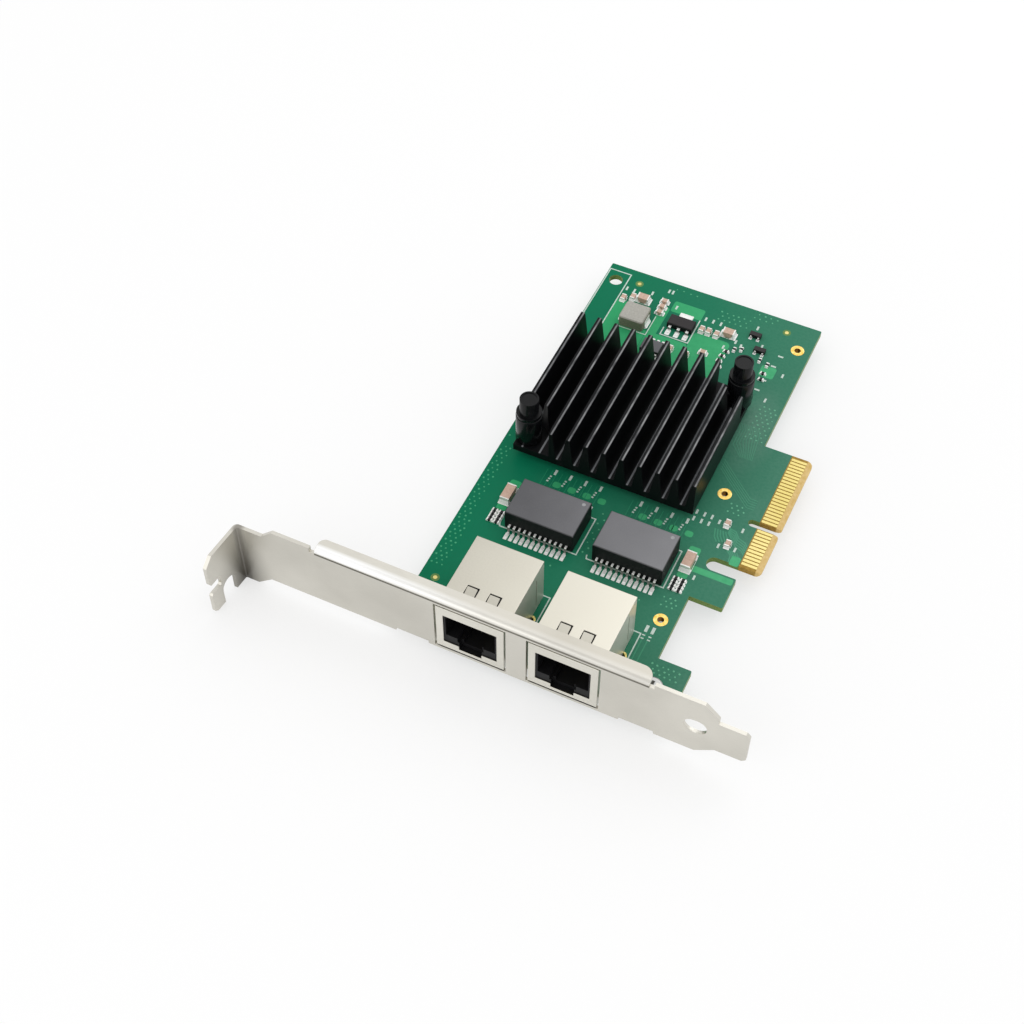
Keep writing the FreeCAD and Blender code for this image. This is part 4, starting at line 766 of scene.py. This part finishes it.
def board_traces():
    """Traces that show through the mask."""
    layer = Layer()
    for i in range(5):
        shift = i * 0.62
        to_contacts = [(-10.8, -3.6 - shift * 0.5), (-9.2, -3.9 - shift), (-8.0, -5.4 - shift),
                       (-6.2, -6.0 - shift), (-5.4, -6.9 - shift)]
        upper = [(-13.8 + shift, -4.9), (-13.2 + shift, -7.2 + shift * 0.5),
                 (-12.2 + shift, -8.4 + shift * 0.4)]
        lower = [(-9.4 + shift, -9.4), (-8.0 + shift * 0.8, -10.7), (-7.8 + shift * 0.8, -12.6)]
        layer.line(to_contacts, WIDE_TRACK, POUR_RISE)
        layer.line(upper, WIDE_TRACK, POUR_RISE)
        layer.line(lower, 0.3, POUR_RISE)
    for i in range(5):
        shift = i * 0.7
        points = [(-6.9, 12.0 + shift), (-4.1, 9.4 + shift), (2.6, 3.6 + shift), (4.4, 3.6 + shift)]
        layer.line([(RIGHT + x, y) for x, y in points], TRACK, POUR_RISE)
    for i in range(9):
        shift = i * 0.6
        points = [(-8.0 + shift, 27.0), (-6.9 + shift, 25.2), (-6.9 + shift, 20.0 + shift),
                  (-4.0 + shift * 0.6, 17.0)]
        layer.line([(RIGHT + x, y) for x, y in points], TRACK, POUR_RISE)
    for x in (RIGHT - 5.0, RIGHT - 3.8):
        layer.line([(x, -46.3), (x, -39.2), (x + 0.2, -38.0)], 0.25, POUR_RISE)
    for low, high in TRANSFORMERS:
        for i in range(12):
            x = low[0] + 1.6 + i * 1.24
            points = [(x, high[1] + 3.2), (x + 0.25, high[1] + 4.4), (x + 0.25, high[1] + 9.0)]
            layer.line(points, TRACK, POUR_RISE)
    layer.piece("board_traces", mask_on_trace(), "solder_mask")


def via_places():
    """Middles of the small vias on the open parts of the board."""
    tab_low = NEAR + 9.6
    places = grid(LEFT + 0.9, LEFT + 3.6, -40.6, -27.0, 1.3)
    places += grid(LEFT + 0.8, LEFT + 3.0, -26.0, -3.0, 1.35)
    places += grid(LEFT + 0.8, LEFT + 1.9, 0.0, SINK_HIGH[1], 2.1)
    places += grid(RIGHT - 4.8, RIGHT - 1.2, -29.6, -26.6, 1.3)
    places += grid(RIGHT - 0.6, RIGHT + 6.2, tab_low, tab_low + 2.8, 1.25)
    places += grid(RIGHT - 5.0, RIGHT - 0.8, 23.4, 34.5, 1.35)
    places += grid(RIGHT - 0.9, RIGHT + 2.8, 0.8, 4.4, 1.4)
    places += grid(-37.0, -29.0, FAR - 6.8, FAR - 3.0, 1.5)
    places += grid(-29.0, -23.0, FAR - 2.6, FAR - 1.2, 1.6)
    places += grid(-50.0, -44.0, FAR - 1.8, FAR - 1.2, 1.8)
    places += grid(TRANSFORMERS[0][1][0] + 1.9, TRANSFORMERS[1][0][0] - 1.4, -24.0, -12.0, 1.7)
    places += grid(SHIELDS[0][1][0] + 2.2, SHIELDS[1][0][0] - 2.0, NEAR + 9.0, NEAR + 16.0, 1.6)
    for low, high in TRANSFORMERS:
        places += grid(low[0] + 1.4, high[0] - 1.0, low[1] - 5.3, low[1] - 5.0, 2.5)
    return places


def board_vias():
    """Vias capped with mask, on both faces of the board."""
    for name, base, upward in (("vias", 0.0, True), ("vias_below", SOLDER_Z, False)):
        layer = Layer(base, upward)
        for x, y in via_places():
            x += random.uniform(-0.1, 0.1)
            y += random.uniform(-0.1, 0.1)
            layer.disc(x, y, random.uniform(0.2, 0.28), VIA_RISE)
        layer.piece(name, TENTED, "solder_mask")


def reference_marks():
    """Places of the small printed marks beside the parts, with True where the mark lies along X."""
    marks = [(-61.7, 56.5, False), (-59.7, 56.5, False), (-55.2, 57.6, False), (-51.6, 60.1, False),
             (-50.6, 60.1, False), (-39.7, 55.0, False), (-37.7, 55.0, False), (-35.7, 55.0, False),
             (-26.9, 57.6, False), (-23.8, 52.2, False), (-18.5, 51.0, True), (-19.0, 47.2, True),
             (-19.6, 42.0, True), (-20.0, 38.4, True), (-32.4, 48.0, False), (-47.8, 55.6, False),
             (-30.2, 50.9, False), (-28.6, 50.1, False), (-15.9, 45.2, False), (-17.0, 36.0, False)]
    for low, high in solids_of("large_capacitor_bodies"):
        if high[1] < 0:
            marks.append((high[0] + 1.5, low[1] - 1.1, False))
    for x in (-19.3, -17.4, -15.6):
        marks += [(x, -2.3, False), (x, -4.4, False)]
    marks += [(-13.6, -2.9, False), (-7.9, -3.0, False), (-11.4, -9.3, False), (-7.6, -8.8, False)]
    return marks


def printed_mark(layer, x, y, along_x, size=1.0):
    """Plain printed bar beside a part."""
    half = 0.65 * size
    ends = [(x - half, y), (x + half, y)] if along_x else [(x, y - half), (x, y + half)]
    layer.line(ends, 0.5 * size, PRINT_RISE)


def mark_column(layer, x, top):
    """Printed bar with three small squares below it."""
    printed_mark(layer, x + 0.35, top - 0.9, False, 1.2)
    for i in range(3):
        y = top - 2.4 - i * 0.75
        layer.line([(x - 0.25 - i * 0.1, y - 0.2), (x - 0.25 - i * 0.1, y + 0.2)], 0.5, PRINT_RISE)


def screen_print_layer():
    """White outlines and marks printed on the component face."""
    layer = Layer()
    left, right = LEFT + 0.3, LEFT + 6.0
    bottom, top = SINK_HIGH[1] + 0.4, FAR - 2.05
    layer.line([(left, bottom), (left, top), (right, top), (right, bottom)], OUTLINE, PRINT_RISE)
    low, high = INDUCTOR
    layer.line([(high[0] + 1.2, high[1] + 0.3), (high[0] + 1.2, low[1] - 0.4), (low[0] + 0.3, low[1] - 0.4)],
               0.25, PRINT_RISE)
    low, high = REGULATOR
    left, right = low[0] - 0.5, high[0] + 0.25
    bottom = low[1] - 3.0
    layer.line([(right, high[1] + 2.1), (right, bottom), (left, bottom), (left, low[1] - 0.4)],
               OUTLINE, PRINT_RISE)
    for number, (low, high) in enumerate(TRANSFORMERS):
        right = high[0] + (1.0 if number == 0 else 0.6)
        layer.line([(right - 1.2, high[1] + 0.2), (right, high[1] + 0.2), (right, low[1] - 0.15),
                    (low[0] - 1.2, low[1] - 0.15), (low[0] - 1.5, low[1] + 0.9)], OUTLINE, PRINT_RISE)
        for i in range(4):
            mark_column(layer, low[0] + 3.6 + i * 3.8, high[1] + 9.6)
    for low, high in SHIELDS:
        x = high[0] + 1.5
        layer.line([(x - 1.7, high[1] + 0.2), (x, high[1] + 0.2), (x, NEAR + 10.0), (x - 1.9, NEAR + 10.0)],
                   OUTLINE, PRINT_RISE)
    for x, y, along_x in reference_marks():
        printed_mark(layer, x, y, along_x)
    for x in (RIGHT - 5.1, RIGHT - 3.6):
        printed_mark(layer, x, -36.8, False, 1.4)
        for y in (-38.6, -39.5):
            layer.line([(x - 0.35, y), (x + 0.35, y)], 0.3, PRINT_RISE)
    for name in ("large_capacitor_bodies", "chip_capacitor_bodies"):
        for low, high in solids_of(name):
            along_x = high[0] - low[0] > high[1] - low[1]
            gap = 0.28
            if along_x:
                for y in (low[1] - gap, high[1] + gap):
                    layer.line([(low[0], y), (high[0], y)], FINE_OUTLINE, PRINT_RISE)
            else:
                for x in (low[0] - gap, high[0] + gap):
                    layer.line([(x, low[1]), (x, high[1])], FINE_OUTLINE, PRINT_RISE)
    layer.piece("screen_print", PRINT, "solder_mask")


def fiducials():
    """Gold alignment dots in round clearings of the mask."""
    dots = Layer()
    clearings = Layer()
    for x, y in ((LEFT + 9.1, FAR - 4.05), (RIGHT - 7.7, FAR - 4.05), (LEFT + 3.6, NEAR + 12.0)):
        clearings.disc(x, y, 1.05, POUR_RISE, sides=24, top=0.95)
        dots.disc(x, y, 0.55, PRINT_RISE, sides=20, top=0.85)
    clearings.piece("fiducial_clearings", BARE_LAMINATE, "solder_mask")
    dots.piece("fiducial_dots", GOLD, "gold_plate")


# ---------------------------------------------------------------- solder

def chip_joints(layer, name, spread, side):
    """Pad and solder round each metal end of the chip parts."""
    for low, high in solids_of(name):
        x0, y0 = low[0], low[1]
        x1, y1 = high[0], high[1]
        along_x = x1 - x0 < y1 - y0
        grow_x, grow_y = (spread, side) if along_x else (side, spread)
        outer = (x0 - grow_x, x1 + grow_x, y0 - grow_y, y1 + grow_y)
        layer.area(*outer, PAD_RISE, corner=0.12, steps=2)
        skin = 0.02
        inner = (x0 - skin, x1 + skin, y0 - skin, y1 + skin)
        middle = tuple((a * 2 + b) / 3 for a, b in zip(outer, inner))
        layer.wedge(middle, inner, high[2] * 0.55)


def lead_joints(layer, name, body, reach, width):
    """Pad and solder at the foot of each lead that leaves a body along Y."""
    low_body, high_body = box_mm(body)
    middle = (low_body[1] + high_body[1]) / 2
    side = 0.06
    for low, high in solids_of(name):
        out = 1 if (low[1] + high[1]) / 2 > middle else -1
        tip = high[1] if out > 0 else low[1]
        heel = tip - out * 1.1
        x0, x1 = low[0], high[0]
        pad = sorted((heel, tip + out * reach))
        layer.area(x0 - width, x1 + width, *pad, PAD_RISE, corner=0.15, steps=2)
        skirt = (x0 - side * 2, x1 + side * 2, *sorted((heel, tip + out * 0.45)))
        crown = (x0 - side / 2, x1 + side / 2, *sorted((heel, tip)))
        layer.wedge(skirt, crown, 0.16)


def solder_joints():
    """Bright solder on the component face."""
    layer = Layer()
    for number in (1, 2):
        lead_joints(layer, "lan_transformer_leads_%d" % number, "lan_transformer_%d" % number, 0.85, 0.19)
    lead_joints(layer, "voltage_regulator_leads", "voltage_regulator", 0.8, 0.25)
    lead_joints(layer, "memory_chip_leads", "memory_chip", 0.5, 0.12)
    chip_joints(layer, "large_capacitor_ends", 0.6, 0.25)
    chip_joints(layer, "chip_capacitor_ends", 0.4, 0.12)
    chip_joints(layer, "resistor_ends", 0.2, 0.0)
    for low, high in solids_of("transistor_leads"):
        y = (low[1] + high[1]) / 2
        layer.area(low[0] - 0.2, high[0] + 0.2, y - 0.55, y + 0.55, PAD_RISE, corner=0.15, steps=2)
    for low, high in solids_of("power_inductor_terminals"):
        x0, x1 = low[0], high[0]
        y0, y1 = low[1], high[1]
        layer.area(x0 - 0.55, x1 + 0.55, y0 - 0.2, y1 + 0.2, PAD_RISE)
        layer.wedge((x0 - 0.4, x1 + 0.4, y0, y1), (x0 - 0.03, x1 + 0.03, y0, y1), 0.7)
    layer.piece("solder_joints", SOLDER, "tinned_lead")


def solder_cones():
    """Cones of solder round the pins and legs that come through to the solder face."""
    layer = Layer(SOLDER_Z, upward=False)
    for number in (1, 2):
        for low, high in solids_of("jack_contacts_%d" % number):
            x = (low[0] + high[0]) / 2
            layer.disc(x, high[1] - 0.18, 0.75, 0.05, sides=16, top=0.97)
            layer.disc(x, high[1] - 0.18, 0.62, 0.75, sides=16, top=0.42)
        low, high = SHIELDS[number - 1]
        y = low[1] + 13.4
        for x in (low[0] + 0.12, high[0] - 0.12):
            layer.disc(x, y, 1.3, 0.05, sides=20, top=0.97)
            layer.disc(x, y, 1.1, 0.8, sides=20, top=0.6)
    layer.piece("solder_cones", SOLDER, "tinned_lead")


# ---------------------------------------------------------------- marks on the moulded parts

def pin_one_dots():
    """Printed dot near the far corner of each transformer."""
    layer = Layer(TRANSFORMERS[0][1][2])
    for low, high in TRANSFORMERS:
        layer.disc(high[0] - 1.5, high[1] - 1.3, 0.45, 0.02, sides=20, top=0.95)
    layer.piece("pin_one_dots", DOT, "moulded_epoxy")


copper_areas()
board_traces()
board_vias()
screen_print_layer()
fiducials()
solder_joints()
solder_cones()
pin_one_dots()

soften("bracket", 0.12)
for number in (1, 2):
    soften("jack_shield_%d" % number, 0.1)
    soften("push_pin_%d" % number, 0.15)
    soften("push_pin_barrel_%d" % number, 0.12)
    soften("lan_transformer_%d" % number, 0.12)
soften("heat_sink", 0.08, 1)
soften("power_inductor", 0.15)
soften("voltage_regulator", 0.08)
soften("memory_chip", 0.08)


# ---------------------------------------------------------------- floor, light and camera

def seen_directly(tree):
    """1 for rays from the camera, and for those that metal or glass sends on."""
    path = tree.nodes.new("ShaderNodeLightPath")
    value = path.outputs["Is Camera Ray"]
    for name in ("Is Glossy Ray", "Is Transmission Ray"):
        either = tree.nodes.new("ShaderNodeMath")
        either.operation = "MAXIMUM"
        tree.links.new(value, either.inputs[0])
        tree.links.new(path.outputs[name], either.inputs[1])
        value = either.outputs["Value"]
    return value


def floor(z, whiteness):
    """Pale studio floor, whose shadow is lifted beside the board by a share of plain white.

    Under the board there is none of it, so that the plated holes look dark inside.
    """
    mesh = bpy.data.meshes.new("floor")
    reach = 3.0
    corners = [(-reach, -reach, z), (reach, -reach, z), (reach, reach, z), (-reach, reach, z)]
    mesh.from_pydata(corners, [], [(0, 1, 2, 3)])
    piece = bpy.data.objects.new("floor", mesh)
    bpy.context.scene.collection.objects.link(piece)
    f = Finish("floor", roughness=0.9, specular=0.1)
    f.colour("#fbfbfb")
    white = f.add("ShaderNodeEmission")
    blend = f.add("ShaderNodeMixShader")
    soft = 2.0
    edges = []
    for index, low, high in ((0, LEFT + 4.0, RIGHT - 3.0), (1, NEAR + 4.0, FAR - 2.0)):
        place = f.axis(index)
        edges += [f.span(place, low, low + soft), f.span(place, high, high - soft)]
    beside = f.math("SUBTRACT", 1.0, f.every(*edges))
    f.link(f.every(seen_directly(f.tree), whiteness, beside), blend.inputs["Fac"])
    f.link(f.shader.outputs["BSDF"], blend.inputs[1])
    f.link(white.outputs["Emission"], blend.inputs[2])
    f.link(blend.outputs["Shader"], f.tree.nodes["Material Output"].inputs["Surface"])
    mesh.materials.append(f.material)


def area_light(name, place, target, size, watts):
    """Square soft light aimed at a point."""
    data = bpy.data.lights.new(name, "AREA")
    data.size = size
    data.energy = watts
    lamp = bpy.data.objects.new(name, data)
    bpy.context.scene.collection.objects.link(lamp)
    lamp.location = place
    lamp.rotation_euler = (Vector(target) - Vector(place)).to_track_quat("-Z", "Y").to_euler()


def world(seen, ambient):
    """White to the camera and to reflections, dimmer as a light."""
    world_data = bpy.data.worlds.new("studio")
    bpy.context.scene.world = world_data
    world_data.use_nodes = True
    tree = world_data.node_tree
    background = tree.nodes["Background"]
    level = tree.nodes.new("ShaderNodeMapRange")
    tree.links.new(seen_directly(tree), level.inputs["Value"])
    level.inputs["To Min"].default_value = ambient
    level.inputs["To Max"].default_value = seen
    tree.links.new(level.outputs["Result"], background.inputs["Strength"])
    background.inputs["Color"].default_value = (1, 1, 1, 1)


floor(cad_box[0][2], whiteness=0.6)
world(seen=1.0, ambient=0.85)
board_middle = (-0.04, 0.0, 0.0)
area_light("key", (0.16, 0.62, 0.80), board_middle, size=0.8, watts=1.9)
area_light("front_fill", (-0.35, -0.85, 0.45), board_middle, size=0.9, watts=1.8)

camera_data = bpy.data.cameras.new("camera")
camera_data.lens = LENS
camera_data.sensor_width = 36.0
camera_data.clip_start = 0.01
camera = bpy.data.objects.new("camera", camera_data)
bpy.context.scene.collection.objects.link(camera)
camera.location = [c * MM for c in CAMERA_PLACE]
camera.rotation_euler = (math.radians(90 - CAMERA_ELEVATION), 0.0, math.radians(CAMERA_AZIMUTH))
bpy.context.scene.camera = camera
bpy.context.scene.view_settings.view_transform = "Standard"

bpy.context.view_layer.update()
